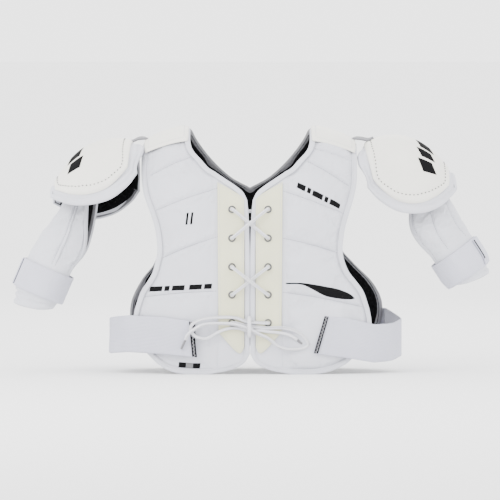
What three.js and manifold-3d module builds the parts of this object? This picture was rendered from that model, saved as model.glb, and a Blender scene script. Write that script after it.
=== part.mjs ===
// Hockey shoulder pads: a laced padded vest with hinged shoulder caps, hanging upper-arm pads and
// elastic side straps. Millimetres, +Z up, the front faces -Y, the wearer's left arm is at +X.
// The vest stands upright on its hems, with the origin under its middle at floor level.

import * as THREE from "three";
import { mergeVertices } from "three/addons/utils/BufferGeometryUtils.js";
import Module from "manifold-3d";

const wasm = await Module();
wasm.setup();

const { clamp, degToRad, lerp, smoothstep } = THREE.MathUtils;

// ---- Driving dimensions ----

const GAP = 0.3; // clearance between pieces that touch
const FORM = {
  halfWidth: 230, // of the torso the vest is shaped on
  depth: 110, // half depth at chest height
  waistTaper: 10, // less depth at the hem
  rollStart: 200, // height where the chest begins to roll back over the shoulder
  rollRun: 224, // length of the roll, from there to the shoulder line
  height: 367, // of the shoulder line beside the neck
  neckX: 91, // where the shoulder line starts to fall
  shoulderX: 160, // where it ends
  shoulderDrop: 22,
};
const PAD = { thick: 12, edge: 7, lining: 2, liningHem: 0.1 };
const PLACKET = { edgeX: 49.7, recess: 3, thick: 3.6 };
const FACING = { thick: 1.8 };
const EYELET = {
  x: 27,
  rows: [247, 204, 161, 119, 77],
  bore: 3.6,
  barrel: 4.3,
  flange: 5.8,
  hole: 4.7,
  depth: 6.9,
};
const LACE = { radius: 2.4, sides: 8 };
const AGLET = { radius: 1.7 };
const STRAP = { thick: 2.2, lift: 2, rootLift: 1 };
const PATCH = { thick: 1.3 };
const YOKE = { thick: 4.6, frontRun: 352 };
const CAP = { hinge: [165, 0, 345], shell: 4, pad: 8, lining: 1.5, rearDepth: 0.83 };
const ARM = {
  top: 22,
  radius: 42.5,
  innerSide: 0.74, // the pad is flatter on the side towards the torso
  extraDepth: 4,
  wall: 10,
  lining: 1.6,
  wrap: 150,
};
const BAND = { width: 44, thick: 2, slack: 1.3 };

// Each side hangs a little differently, as soft pads do.
const SIDES = {
  left: {
    side: 1,
    capTilt: 0,
    capRoll: 0,
    armAxis: [[252, 0, 300], [266, 0, 260], [280, 0, 211], [303, 0, 177], [331, 0, 133]],
    hangerTop: 323,
    armLength: 190,
    bandStart: 134,
    bandSlant: 1,
    tabEnd: 34,
    strapLoop: [[207, 50], [217, 30], [226, 9], [228, -2], [225, -13], [204, -60], [187, -76.5]],
    strapEnd: 95,
    strapTop: [92, 80, 73.5, 73, 84, 89],
    strapBottom: [38, 24, 17.5, 16, 24, 31],
    strapSlant: 0.07,
  },
  right: {
    side: -1,
    capTilt: 10,
    capRoll: 20,
    armAxis: [[255, -24, 271], [258, -25, 250], [271, -28, 210], [293, -30, 165], [322, -32, 98]],
    hangerTop: 306,
    armLength: 194,
    bandStart: 125,
    bandSlant: -0.5,
    tabEnd: 6,
    strapLoop: [[189, 68], [201, 46], [209, 22], [211, -8], [209, -34], [201, -57], [187, -76.5]],
    strapEnd: 79,
    strapTop: [76, 78, 82, 87, 85, 78],
    strapBottom: [34, 29, 28, 32, 30, 25],
    strapSlant: 0.02,
  },
};

// ---- Materials ----

function finish(color, roughness, metalness = 0) {
  return () => new THREE.MeshStandardMaterial({ color, roughness, metalness });
}
const quilted = finish(0xe2e4ea, 0.85);
const blackLining = finish(0x17171a, 0.9);
const creamFacing = finish(0xe1e1d0, 0.5);
const capLeather = finish(0xecebe6, 0.45);
const elastic = finish(0xd6d6e2, 0.9);
const greyWebbing = finish(0x8c8c92, 0.8);
const blackHook = finish(0x1b1b1e, 0.85);
const laceCotton = finish(0xe9e9ee, 0.8);
const aglet = finish(0x6b6b70, 0.4);
const nickel = finish(0xc8c8cc, 0.3, 1);

// ---- Solids from grids of points ----

// The closed solid between two grids of the same size. With wrap, each row runs round a ring.
function slab(outer, inner, wrap = false) {
  const rows = outer.length;
  const columns = outer[0].length;
  const spans = wrap ? columns : columns - 1;
  const at = (layer, j, i) => (layer * rows + j) * columns + (i % columns);
  const index = [];
  const quad = (a, b, c, d) => index.push(a, b, c, a, c, d);
  for (let j = 0; j < rows - 1; j++)
    for (let i = 0; i < spans; i++) {
      quad(at(0, j, i), at(0, j, i + 1), at(0, j + 1, i + 1), at(0, j + 1, i));
      quad(at(1, j, i), at(1, j + 1, i), at(1, j + 1, i + 1), at(1, j, i + 1));
    }
  const last = rows - 1;
  for (let i = 0; i < spans; i++) {
    quad(at(0, 0, i), at(1, 0, i), at(1, 0, i + 1), at(0, 0, i + 1));
    quad(at(0, last, i), at(0, last, i + 1), at(1, last, i + 1), at(1, last, i));
  }
  if (!wrap)
    for (let j = 0; j < last; j++) {
      const end = columns - 1;
      quad(at(0, j, 0), at(0, j + 1, 0), at(1, j + 1, 0), at(1, j, 0));
      quad(at(0, j, end), at(1, j, end), at(1, j + 1, end), at(0, j + 1, end));
    }
  const points = [...outer.flat(), ...inner.flat()];
  if (volumeOf(points, index) < 0) index.reverse();
  const geometry = new THREE.BufferGeometry().setFromPoints(points);
  return geometry.setIndex(index);
}

function volumeOf(points, index) {
  let volume = 0;
  for (let k = 0; k < index.length; k += 3) {
    const [a, b, c] = [points[index[k]], points[index[k + 1]], points[index[k + 2]]];
    volume += a.dot(b.clone().cross(c)) / 6;
  }
  return volume;
}

function gridOf(rows, columns, point) {
  return Array.from({ length: rows + 1 }, (_, j) =>
    Array.from({ length: columns + 1 }, (_, i) => point(j, i)),
  );
}

// A grid moved along its own normals, which point away from `centre`. `distance` may vary.
function offsetGrid(grid, distance, centre) {
  const rows = grid.length - 1;
  const columns = grid[0].length - 1;
  return gridOf(rows, columns, (j, i) => {
    const along = grid[Math.min(j + 1, rows)][i].clone().sub(grid[Math.max(j - 1, 0)][i]);
    const across = grid[j][Math.min(i + 1, columns)].clone().sub(grid[j][Math.max(i - 1, 0)]);
    const normal = along.cross(across).normalize();
    if (normal.dot(grid[j][i].clone().sub(centre)) < 0) normal.negate();
    return grid[j][i].clone().addScaledVector(normal, distance(j / rows, i / columns));
  });
}

// ---- Cutting holes ----

function manifoldOf(geometry) {
  const bare = new THREE.BufferGeometry().setAttribute("position", geometry.getAttribute("position"));
  const merged = mergeVertices(bare.setIndex(geometry.index), 1e-4);
  return new wasm.Manifold(
    new wasm.Mesh({
      numProp: 3,
      vertProperties: merged.attributes.position.array,
      triVerts: new Uint32Array(merged.index.array),
    }),
  );
}

function geometryOf(manifold) {
  const mesh = manifold.getMesh();
  return new THREE.BufferGeometry()
    .setAttribute("position", new THREE.BufferAttribute(mesh.vertProperties, 3))
    .setIndex(new THREE.BufferAttribute(mesh.triVerts, 1));
}

// Lacing holes through a layer of one front panel.
function punched(geometry, side) {
  let solid = manifoldOf(geometry);
  for (const z of EYELET.rows) {
    const drill = new THREE.CylinderGeometry(EYELET.hole, EYELET.hole, 30, 8);
    drill.applyQuaternion(eyeletTurn(side, z));
    drill.translate(...chest(side * EYELET.x, z, 0));
    solid = solid.subtract(manifoldOf(drill));
  }
  return geometryOf(solid);
}

// ---- The torso form ----

function shoulderTop(x) {
  const fall = clamp((Math.abs(x) - FORM.neckX) / (FORM.shoulderX - FORM.neckX), 0, 1.2);
  return FORM.height - FORM.shoulderDrop * Math.pow(fall, 1.6);
}

// A point of the form: x across, `run` up from the hem and over the shoulder, facing -1 front or
// +1 back, and `lift` out from the surface.
function form(x, run, facing, lift = 0) {
  const turn = clamp((run - FORM.rollStart) / FORM.rollRun, 0, 1) * (Math.PI / 2);
  const rise = Math.pow(Math.sin(turn), 1 / 1.1);
  const z = Math.min(run, FORM.rollStart) + (shoulderTop(x) - FORM.rollStart) * rise;
  const low = clamp((190 - z) / 190, 0, 1);
  const depth = FORM.depth - FORM.waistTaper * low * low;
  const reach = Math.pow(Math.abs(x) / FORM.halfWidth, 2.5);
  const across = Math.pow(1 - Math.min(reach, 0.95), 0.4);
  const y = depth * across * Math.cos(turn);
  const slope = (depth / FORM.halfWidth) * Math.pow(Math.abs(x) / FORM.halfWidth, 1.5);
  const steep = slope * Math.pow(1 - Math.min(reach, 0.95), -0.6) * Math.cos(turn);
  const normal = new THREE.Vector3(Math.sign(x) * steep, facing * Math.cos(turn), Math.sin(turn));
  normal.normalize().multiplyScalar(lift);
  return new THREE.Vector3(x, facing * (y + GAP / 2), z).add(normal);
}

// How far along the form's surface a height lies.
function runAt(x, z) {
  if (z <= FORM.rollStart) return z;
  const rise = clamp((z - FORM.rollStart) / (shoulderTop(x) - FORM.rollStart), 0, 1);
  return FORM.rollStart + (FORM.rollRun * Math.asin(Math.pow(rise, 1.1))) / (Math.PI / 2);
}

// A point in front of the chest, as [x, y, z].
function chest(x, z, lift) {
  return form(x, runAt(x, z), -1, lift).toArray();
}

function eyeletTurn(side, z) {
  const [inner, outer] = [-1, 1].map((lift) => new THREE.Vector3(...chest(side * EYELET.x, z, lift)));
  const up = new THREE.Vector3(0, 1, 0);
  return new THREE.Quaternion().setFromUnitVectors(up, outer.sub(inner).normalize());
}

// ---- Panels: outlines are [x, z] as seen from the front, for the +X side ----

const SHOULDER_LINE = FORM.rollStart + FORM.rollRun;
const ARMHOLE = [[139, 183], [140, 201], [143, 220], [149, 242], [156, 265], [160, 285], [161, 320]];
const SIDE_EDGE = [[180, 58], [183, 72], [181, 90], [177, 105], [170, 124], [160, 138], [149, 152]];

function outline(points) {
  const onForm = points.map(([x, z]) => new THREE.Vector2(x, runAt(x, z)));
  return new THREE.Path(onForm);
}

// Fills the outline between four edges with a grid of [x, run].
function patch({ bottom, top, left, right }, columns, rows) {
  const [b, t, l, r] = [bottom, top, left, right].map(outline);
  const corners = [b.getPointAt(0), b.getPointAt(1), t.getPointAt(0), t.getPointAt(1)];
  return gridOf(rows, columns, (j, i) => {
    const [u, v] = [i / columns, j / rows];
    const point = new THREE.Vector2();
    point.addScaledVector(b.getPointAt(u), 1 - v).addScaledVector(t.getPointAt(u), v);
    point.addScaledVector(l.getPointAt(v), 1 - u).addScaledVector(r.getPointAt(v), u);
    point.addScaledVector(corners[0], -(1 - u) * (1 - v)).addScaledVector(corners[1], -u * (1 - v));
    point.addScaledVector(corners[2], -(1 - u) * v).addScaledVector(corners[3], -u * v);
    return point;
  });
}

// A layer of cloth or foam on the form, between two depths under its surface. `hem` is the share of
// the first row by which it stops short of the panel's hem.
function layer(flat, side, facing, outer, inner, hem = 0) {
  const rows = flat.length - 1;
  const columns = flat[0].length - 1;
  const sheet = (depth) => {
    const grid = gridOf(rows, columns, (j, i) => {
      const rim = Math.min(j, rows - j, i, columns - i) === 0;
      return form(side * flat[j][i].x, flat[j][i].y, facing, -depth(rim));
    });
    grid[0].forEach((point, i) => point.lerp(grid[1][i], hem));
    return grid;
  };
  return slab(sheet(outer), sheet(inner));
}

const padDepth = (rim) => (rim ? PAD.edge : PAD.thick);
const liningTop = (rim) => padDepth(rim) + 0.7;
const liningBottom = (rim) => padDepth(rim) + 0.7 + PAD.lining;

const chestPanel = patch(
  {
    bottom: [[50, 2], [60, 0], [102, 0], [127, 6], [145, 15], [160, 29], [172, 42], [180, 58]],
    top: [[FORM.neckX, FORM.height], [FORM.shoulderX, FORM.height]],
    left: [[50, 2], [50, 302], [62, 309], [74, 322], [85, 334], [90, 345], [91, FORM.height]],
    right: [...SIDE_EDGE, [142, 168], ...ARMHOLE, [FORM.shoulderX, FORM.height]],
  },
  6,
  12,
);
const placketPanel = patch(
  {
    bottom: [[1.2, 30], [8, 18], [20, 10], [38, 4], [PLACKET.edgeX, 2]],
    top: [[5, 262], [11, 274], [20, 282], [36, 293], [PLACKET.edgeX, 302]],
    left: [[1.2, 30], [1.2, 186], [3, 240], [5, 262]],
    right: [[PLACKET.edgeX, 2], [PLACKET.edgeX, 302]],
  },
  3,
  10,
);
const facingPanel = patch(
  {
    bottom: [[9, 40], [15, 31], [47, 62]],
    top: [[9, 262], [15, 268], [48.7, 288]],
    left: [[9, 40], [9, 262]],
    right: [[47, 62], [48.7, 288]],
  },
  3,
  9,
);
const backPanel = patch(
  {
    bottom: [
      [-174, 48], [-152, 24], [-130, 9], [-106, 0], [-56, 0], [-30, 12], [0, 34],
      [30, 12], [56, 0], [106, 0], [134, 8], [166, 26], [193, 50],
    ],
    top: [
      [-FORM.shoulderX, FORM.height], [-FORM.neckX, FORM.height], [-81, 350], [-60, 321],
      [-30, 292], [0, 275], [30, 292], [60, 321], [81, 350],
      [FORM.neckX, FORM.height], [FORM.shoulderX, FORM.height],
    ],
    left: [[-174, 48], [-183, 75], [-181, 103], [-165, 135], [-147, 158], ...mirrored(ARMHOLE),
      [-FORM.shoulderX, FORM.height]],
    right: [[193, 50], [202, 80], [201, 105], [188, 130], [160, 158], ...ARMHOLE,
      [FORM.shoulderX, FORM.height]],
  },
  16,
  11,
);

function mirrored(points) {
  return points.map(([x, z]) => [-x, z]);
}

// The yoke lies over the top of the shoulder, from the chest to the back.
function yoke(side) {
  const rows = 8;
  const columns = 4;
  const sheet = (lift) =>
    gridOf(rows, columns, (j, i) => {
      const v = (2 * j) / rows - 1;
      const run = lerp(SHOULDER_LINE, YOKE.frontRun, Math.abs(v));
      const x = side * lerp(FORM.neckX + 2, FORM.shoulderX - 1, i / columns);
      const point = form(x, run, v <= 0 ? -1 : 1, lift);
      if (j === rows / 2) point.y = 0;
      return point;
    });
  return slab(sheet(YOKE.thick + 0.6), sheet(0.6));
}

// ---- Lacing ----

function eyelet() {
  const { bore, barrel, flange, depth } = EYELET;
  const profile = [
    [bore, -depth], [barrel, -depth], [barrel, GAP], [flange, GAP],
    [flange, 0.8], [bore + 0.5, 1.2], [bore, 0.9], [bore, -depth],
  ];
  return new THREE.LatheGeometry(profile.map(([r, y]) => new THREE.Vector2(r, y)), 8);
}

// A curve whose even steps land on its own points, so that a thread passes where they say.
class Route extends THREE.CatmullRomCurve3 {
  constructor(points) {
    super(points.map(([x, lift, z]) => new THREE.Vector3(...chest(x, z, lift))), false, "centripetal");
  }
  getPointAt(u, target) {
    return this.getPoint(u, target);
  }
  getTangentAt(u, target) {
    return this.getTangent(u, target);
  }
}

function tube(route, radius, sides) {
  const ring = new THREE.Shape(
    Array.from({ length: sides }, (_, k) => {
      const turn = (2 * Math.PI * k) / sides;
      return new THREE.Vector2(radius * Math.cos(turn), radius * Math.sin(turn));
    }),
  );
  const steps = route.points.length - 1;
  return new THREE.ExtrudeGeometry(ring, { steps, extrudePath: route });
}

// The lace through one eyelet, front to back: `front` and `back` are the [x, z] it comes from and
// goes on to.
function through([x, z], front, back) {
  const towards = ([toX, toZ], reach) => {
    const length = Math.hypot(toX - x, toZ - z);
    return [x + ((toX - x) * reach) / length, z + ((toZ - z) * reach) / length];
  };
  const [frontX, frontZ] = towards(front, 5);
  const [backX, backZ] = towards(back, 4);
  return [[frontX, 5.4, frontZ], [x, 2.6, z], [x, -8.4, z], [backX, -10.4, backZ]];
}

// The lace's route, as [x, lift off the chest, z], from the tail on the -X side to the one on +X.
function laceRoute() {
  const hole = (side, row) => [side * EYELET.x, EYELET.rows[row - 1]];
  const into = (from, at, to) => through(at, from, to);
  const outOf = (from, at, to) => through(at, to, from).reverse();
  const tailAndLoop = [
    [-95, 11.5, 52], [-93, 13.5, 57], [-88, 16, 63], [-80, 14, 69], [-70, 8, 74], [-50, 5, 76],
    [-32, 8.5, 76], [-21, 10.6, 74.8], [-9, 9.8, 71], [0, 9.2, 68], [8, 8.5, 63], [16, 6, 59],
    [24, 4, 55.5], [32, 3.6, 50], [41, 3.6, 42], [53, 3.6, 37.5], [68, 3.6, 37], [81, 3.6, 39],
    [87, 3.6, 44], [84, 3.6, 52], [74, 3.6, 61.5], [60, 3.6, 67.5], [45, 3.6, 69.8],
    [27, 3.6, 69.2], [13, 3.8, 70.5], [0, 3.6, 71.5], [-12, 4, 74.5],
  ];
  const loopAndTail = [
    [12, 4, 77.5], [0, 3.6, 78], [-10, 3.8, 80.5], [-18, 3.8, 84], [-28, 3.8, 85.5],
    [-45, 3.6, 85.5], [-62, 4.5, 84.5], [-75, 8, 81.5], [-84, 9.8, 76.5], [-88, 10.4, 70],
    [-86.5, 10.6, 63], [-81, 11, 57], [-74, 9.5, 54], [-67, 5, 53], [-59, 3.8, 56],
    [-48, 3.8, 62.5], [-36, 3.8, 67.5], [-26, 3.8, 69.3], [-16, 4, 68.5], [-8, 3.6, 66],
    [0, 3.6, 64.5], [8, 3.6, 65], [16, 3.6, 65.5], [27, 3.6, 63.8], [40, 3.6, 62.5],
    [52, 3.6, 60.5], [62, 3.6, 57], [70, 3.6, 51.5],
  ];
  return [
    ...tailAndLoop,
    ...into([0, 77], hole(-1, 5), hole(-1, 4)),
    ...outOf(hole(-1, 5), hole(-1, 4), hole(1, 3)),
    [0, 3.4, 140],
    ...into(hole(-1, 4), hole(1, 3), hole(1, 2)),
    ...outOf(hole(1, 3), hole(1, 2), hole(-1, 1)),
    [0, 3.4, 225.5],
    ...into(hole(1, 2), hole(-1, 1), hole(1, 1)),
    ...outOf(hole(-1, 1), hole(1, 1), hole(-1, 2)),
    [0, 9.2, 225.5],
    ...into(hole(1, 1), hole(-1, 2), hole(-1, 3)),
    ...outOf(hole(-1, 2), hole(-1, 3), hole(1, 4)),
    [0, 9.2, 140],
    ...into(hole(-1, 3), hole(1, 4), hole(1, 5)),
    ...outOf(hole(1, 4), hole(1, 5), [0, 77]),
    ...loopAndTail,
  ];
}

const KNOT = [
  [-1, 3, 84.5], [-1, 7, 83.4], [-1, 11.4, 80], [-1, 14.2, 75], [-1, 15.4, 69],
  [-1, 13.6, 63], [-1, 9, 59], [-1, 3, 57.6],
];
const AGLETS = {
  right: [[-95.3, 11.3, 51.3], [-98.5, 10.8, 44.5], [-102, 10.4, 37.5]],
  left: [[70.8, 3.6, 51], [74.5, 3.4, 47.8], [78, 3.2, 45]],
};

// ---- Side straps ----

// The strap's path in plan, [x, y], from the back panel's edge round to its front end.
function strapPlan({ strapLoop, strapEnd }) {
  const onChest = [170, 150, 130, 111, 95, 79].filter((x) => x >= strapEnd);
  const front = onChest.map((x) => chest(x, 84, STRAP.lift + 0.1).slice(0, 2));
  return [...strapLoop, ...front];
}

// A height along one of the strap's edges, from its stitching to its free end.
function alongEdge(heights, t) {
  const place = t * (heights.length - 1);
  const k = Math.min(Math.floor(place), heights.length - 2);
  return lerp(heights[k], heights[k + 1], place - k);
}

function strapBand(arm, from, to, lift, thick, steps) {
  const { side, strapSlant } = arm;
  const plan = new THREE.CatmullRomCurve3(
    strapPlan(arm).map(([x, y]) => new THREE.Vector3(x, y, 0)), false, "centripetal",
  );
  const sheet = (offset) =>
    gridOf(steps, 1, (j, i) => {
      const t = lerp(from, to, j / steps) * (i ? 1 - strapSlant : 1);
      const point = plan.getPointAt(t);
      const tangent = plan.getTangentAt(t);
      const height = alongEdge(i ? arm.strapTop : arm.strapBottom, t);
      return new THREE.Vector3(
        side * (point.x - tangent.y * offset),
        point.y + tangent.x * offset,
        height,
      );
    });
  return slab(sheet(lift + thick), sheet(lift));
}

// The strap's sewn end: a flap on the outside of the back panel, from 42 mm inside the strap's hinge
// line, round the panel's edge, to a small gap before that line.
function strapRoot({ side, strapLoop, strapTop, strapBottom }) {
  const [start, next] = strapLoop.slice(0, 2).map(([x, y]) => new THREE.Vector2(x, y));
  const ahead = next.sub(start).normalize();
  const plan = (z) => {
    const onPanel = [-42, -34, -26, -18, -11, -4].map((d) => form(start.x + d, z, 1, STRAP.rootLift));
    const free = [3, 0.4].map((back) => start.clone().addScaledVector(ahead, -back));
    const points = [...onPanel, ...free].map(({ x, y }) => new THREE.Vector3(x, y, z));
    return new THREE.CatmullRomCurve3(points, false, "centripetal");
  };
  const sheet = (offset) =>
    gridOf(9, 2, (j, i) => {
      const z = lerp(strapBottom[0], strapTop[0], i / 2);
      const point = plan(z).getPointAt(j / 9);
      const tangent = plan(z).getTangentAt(j / 9);
      return new THREE.Vector3(
        side * (point.x - tangent.y * offset),
        point.y + tangent.x * offset,
        z,
      );
    });
  return slab(sheet(STRAP.thick), sheet(0));
}

// ---- Shoulder caps, in the cap's own frame: origin on its hinge, x outwards ----

const CREST = [[3, -6], [20, 6], [52, 12], [85, 5], [113, -14], [132, -34], [143, -49]];
const RIM = [
  [13, 62, -67], [27, 68, -83], [57, 72, -101], [93, 71, -104], [121, 60, -96],
  [139, 43, -82], [146, 27, -70],
];
const CAP_STATIONS = [0, 0.09, 0.22, 0.36, 0.5, 0.64, 0.78, 0.91, 1];

function capGrid(side) {
  const crest = new THREE.CatmullRomCurve3(CREST.map(([x, z]) => new THREE.Vector3(x, 0, z)));
  const rim = new THREE.CatmullRomCurve3(RIM.map((point) => new THREE.Vector3(...point)));
  const arches = 10;
  return gridOf(CAP_STATIONS.length - 1, arches, (j, i) => {
    const s = CAP_STATIONS[j];
    const inner = lerp(79, 68, s);
    const turn = i === 0 ? -90 : i === arches ? 90 : lerp(-inner, inner, (i - 1) / (arches - 2));
    const [sine, cosine] = [Math.sin(degToRad(turn)), Math.cos(degToRad(turn))];
    const [top, edge] = [crest.getPoint(s), rim.getPoint(s)];
    const drop = (edge.z - top.z) * (turn > 0 ? CAP.rearDepth : 1);
    return new THREE.Vector3(
      side * lerp(edge.x, top.x, Math.pow(cosine, 1.2)),
      edge.y * sine,
      top.z + drop * (1 - Math.pow(Math.abs(cosine), 0.85)),
    );
  });
}

function capLayer(grid, side, from, to) {
  const thin = (s) => 1 - 0.4 * Math.pow(s, 3);
  const centre = new THREE.Vector3(side * 75, 0, -60);
  const sheet = (depth) => offsetGrid(grid, (s) => -depth * thin(s), centre);
  return [sheet(from), sheet(to)];
}

// The moulded cap stops short of the pad's rim all round.
function insideRim(grid) {
  return grid.slice(1, -1).map((row) => row.slice(1, -1));
}

// ---- Upper-arm pads ----

function armFrame({ side, armAxis, armLength }) {
  const points = armAxis.map(([x, y, z]) => new THREE.Vector3(x, y, z));
  const axis = new THREE.CatmullRomCurve3(points, false, "centripetal");
  const length = axis.getLength();
  return (run, turn, lift) => {
    const t = clamp(run / length, 0, 1);
    const tangent = axis.getTangentAt(t);
    const centre = axis.getPointAt(t).addScaledVector(tangent, run - t * length);
    const outward = new THREE.Vector3(-tangent.z, 0, tangent.x).normalize();
    const tip = 1 - 0.16 * smoothstep(run, armLength - 30, armLength);
    const grown = ARM.radius - (ARM.radius - ARM.top) * (1 - smoothstep(run, 0, 95));
    const radius = grown * tip;
    const [sine, cosine] = [Math.sin(degToRad(turn)), Math.cos(degToRad(turn))];
    const flatter = cosine < 0 ? lerp(1, ARM.innerSide, smoothstep(run, 70, 125)) : 1;
    const point = centre.addScaledVector(outward, (radius * flatter + lift) * cosine);
    const deeper = lerp(-2, ARM.extraDepth, smoothstep(run, 30, 110));
    point.y -= (radius + deeper + lift) * sine;
    point.x *= side;
    return point;
  };
}

function armLayer(arm, from, to) {
  const rows = 9;
  const columns = 10;
  const at = armFrame(arm);
  const sheet = (depth) =>
    gridOf(rows, columns, (j, i) => {
      const turn = lerp(-ARM.wrap, ARM.wrap, i / columns);
      const end = arm.armLength - 16 * Math.pow(turn / ARM.wrap, 2);
      const rim = i === 0 || i === columns ? 0.7 : 1;
      return at(lerp(0, end, j / rows), turn, -depth * rim);
    });
  return slab(sheet(from), sheet(to));
}

// The band goes right round the arm pad and slants a little.
function armBand(arm) {
  const columns = 20;
  const at = armFrame(arm);
  const sheet = (lift) =>
    gridOf(3, columns - 1, (j, i) => {
      const turn = (360 * i) / columns;
      const slant = -arm.bandSlant * Math.cos(degToRad(turn));
      return at(arm.bandStart + slant + (BAND.width * j) / 3, turn, lift);
    });
  return slab(sheet(BAND.slack + BAND.thick), sheet(BAND.slack), true);
}

// The band's free end, hooked down over its outer side. It peels from its rear edge.
function bandTab(arm, from, to, lift, thick) {
  const at = armFrame(arm);
  const rows = 3;
  const steps = 4;
  const sheet = (offset) =>
    gridOf(rows, steps, (j, i) => {
      const turn = lerp(from, to, i / steps);
      const slant = -arm.bandSlant * Math.cos(degToRad(turn));
      const run = arm.bandStart + slant + lerp(1.5, BAND.width - 1.5, j / rows);
      return at(run, turn, offset);
    });
  return slab(sheet(lift + thick), sheet(lift));
}

// The webbing that the arm pad hangs from, inside the cap.
function hanger(arm) {
  const [[x, y, z]] = arm.armAxis;
  const low = z - 10;
  const strap = new THREE.BoxGeometry(2.4, 12, arm.hangerTop - low);
  return strap.translate(arm.side * x, y, (arm.hangerTop + low) / 2);
}

// ---- Assembly ----

const assembly = new THREE.Group();

function add(name, geometry, material, parent = assembly) {
  const mesh = new THREE.Mesh(geometry, material());
  mesh.name = name;
  parent.add(mesh);
  return mesh;
}

add("back_pad", layer(backPanel, 1, 1, () => 0, padDepth), quilted);
const backLining = layer(backPanel, 1, 1, liningTop, liningBottom, PAD.liningHem);
add("back_lining", backLining, blackLining);

for (const [name, arm] of Object.entries(SIDES)) {
  const { side, strapEnd } = arm;

  add(`chest_pad_${name}`, layer(chestPanel, side, -1, () => 0, padDepth), quilted);
  const chestLining = layer(chestPanel, side, -1, liningTop, liningBottom, PAD.liningHem);
  add(`chest_lining_${name}`, chestLining, blackLining);

  const placketTop = () => PLACKET.recess;
  const placketBottom = () => PLACKET.recess + PLACKET.thick;
  const placket = layer(placketPanel, side, -1, placketTop, placketBottom);
  add(`lacing_placket_${name}`, punched(placket, side), quilted);
  const facing = layer(facingPanel, side, -1, () => 0, () => FACING.thick);
  add(`lacing_facing_${name}`, punched(facing, side), creamFacing);

  EYELET.rows.forEach((z, row) => {
    const mesh = add(`eyelet_${name}_${row + 1}`, eyelet(), nickel);
    mesh.position.set(...chest(side * EYELET.x, z, 0));
    mesh.quaternion.copy(eyeletTurn(side, z));
  });

  add(`shoulder_yoke_${name}`, yoke(side), capLeather);

  // Side strap, its hook tab and the loop patch it fastens to.
  const steps = side > 0 ? 16 : 18;
  const strap = strapBand(arm, 0, 1, 0, STRAP.thick, steps);
  add(`side_strap_${name}`, strap, elastic);
  add(`strap_root_${name}`, strapRoot(arm), elastic);
  const tab = strapBand(arm, 0.962, 0.999, STRAP.thick + GAP, 1.1, 2);
  add(`strap_hook_tab_${name}`, tab, blackHook);
  const loopPatch = patch(
    {
      bottom: [[strapEnd + 3, 34], [strapEnd + 34, 30]],
      top: [[strapEnd + 3, 76], [strapEnd + 34, 71]],
      left: [[strapEnd + 3, 34], [strapEnd + 3, 76]],
      right: [[strapEnd + 34, 30], [strapEnd + 34, 71]],
    },
    4,
    2,
  );
  const patchTop = () => -GAP - PATCH.thick;
  add(`loop_patch_${name}`, layer(loopPatch, side, -1, patchTop, () => -GAP), blackHook);

  // Cap: the group turns about the hinge to the way this side hangs.
  const cap = new THREE.Group();
  cap.position.set(side * CAP.hinge[0], CAP.hinge[1], CAP.hinge[2]);
  cap.rotation.set(-degToRad(arm.capRoll), side * degToRad(arm.capTilt), 0, "YXZ");
  assembly.add(cap);
  const dome = capGrid(side);
  const padTop = CAP.shell + 0.4;
  const capLiningTop = padTop + CAP.pad + 0.4;
  add(`cap_shell_${name}`, slab(...capLayer(dome, side, 0, CAP.shell).map(insideRim)), capLeather, cap);
  add(`cap_pad_${name}`, slab(...capLayer(dome, side, padTop, padTop + CAP.pad)), quilted, cap);
  const inside = slab(...capLayer(dome, side, capLiningTop, capLiningTop + CAP.lining));
  add(`cap_lining_${name}`, inside, blackLining, cap);
  const strapRows = capLayer(dome, side, -GAP - 1.8, -GAP).map((rows) =>
    rows.slice(1, 3).map((row) => row.slice(4, 7)),
  );
  add(`cap_strap_${name}`, slab(...strapRows), greyWebbing, cap);

  add(`arm_pad_hanger_${name}`, hanger(arm), greyWebbing);
  add(`arm_pad_${name}`, armLayer(arm, 0, ARM.wall), quilted);
  add(`arm_lining_${name}`, armLayer(arm, ARM.wall + 0.5, ARM.wall + 0.5 + ARM.lining), blackLining);
  add(`arm_band_${name}`, armBand(arm), elastic);
  const bandTop = BAND.slack + BAND.thick + 1;
  add(`arm_band_tab_${name}`, bandTab(arm, -48, arm.tabEnd, bandTop, 1.8), elastic);

  add(`aglet_${name}`, tube(new Route(AGLETS[name]), AGLET.radius, 8), aglet);
}

add("lace", tube(new Route(laceRoute()), LACE.radius, LACE.sides), laceCotton);
add("lace_knot", tube(new Route(KNOT), LACE.radius, LACE.sides), laceCotton);

export default assembly;
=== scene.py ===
import math

import bmesh
import bpy
import numpy as np
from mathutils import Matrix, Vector
from mathutils.bvhtree import BVHTree


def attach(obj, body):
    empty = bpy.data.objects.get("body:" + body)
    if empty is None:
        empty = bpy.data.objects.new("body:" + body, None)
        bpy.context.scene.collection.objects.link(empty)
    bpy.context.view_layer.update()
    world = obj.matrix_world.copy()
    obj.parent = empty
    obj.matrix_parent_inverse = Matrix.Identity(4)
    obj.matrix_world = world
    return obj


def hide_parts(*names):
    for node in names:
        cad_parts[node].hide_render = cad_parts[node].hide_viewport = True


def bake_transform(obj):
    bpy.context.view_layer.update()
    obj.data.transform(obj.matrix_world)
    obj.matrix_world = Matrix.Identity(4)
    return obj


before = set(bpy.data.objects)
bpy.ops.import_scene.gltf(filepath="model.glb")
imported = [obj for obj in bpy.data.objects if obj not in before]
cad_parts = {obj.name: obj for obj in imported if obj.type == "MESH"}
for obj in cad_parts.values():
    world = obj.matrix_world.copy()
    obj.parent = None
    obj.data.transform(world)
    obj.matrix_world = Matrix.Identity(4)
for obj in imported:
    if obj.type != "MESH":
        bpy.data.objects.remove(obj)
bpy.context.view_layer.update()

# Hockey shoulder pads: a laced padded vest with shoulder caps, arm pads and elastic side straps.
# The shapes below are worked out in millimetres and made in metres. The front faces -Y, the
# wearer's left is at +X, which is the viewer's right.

MM = 0.001
rng = np.random.default_rng(7)

# ---- Driving dimensions, the same as the solid model's ----

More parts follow.
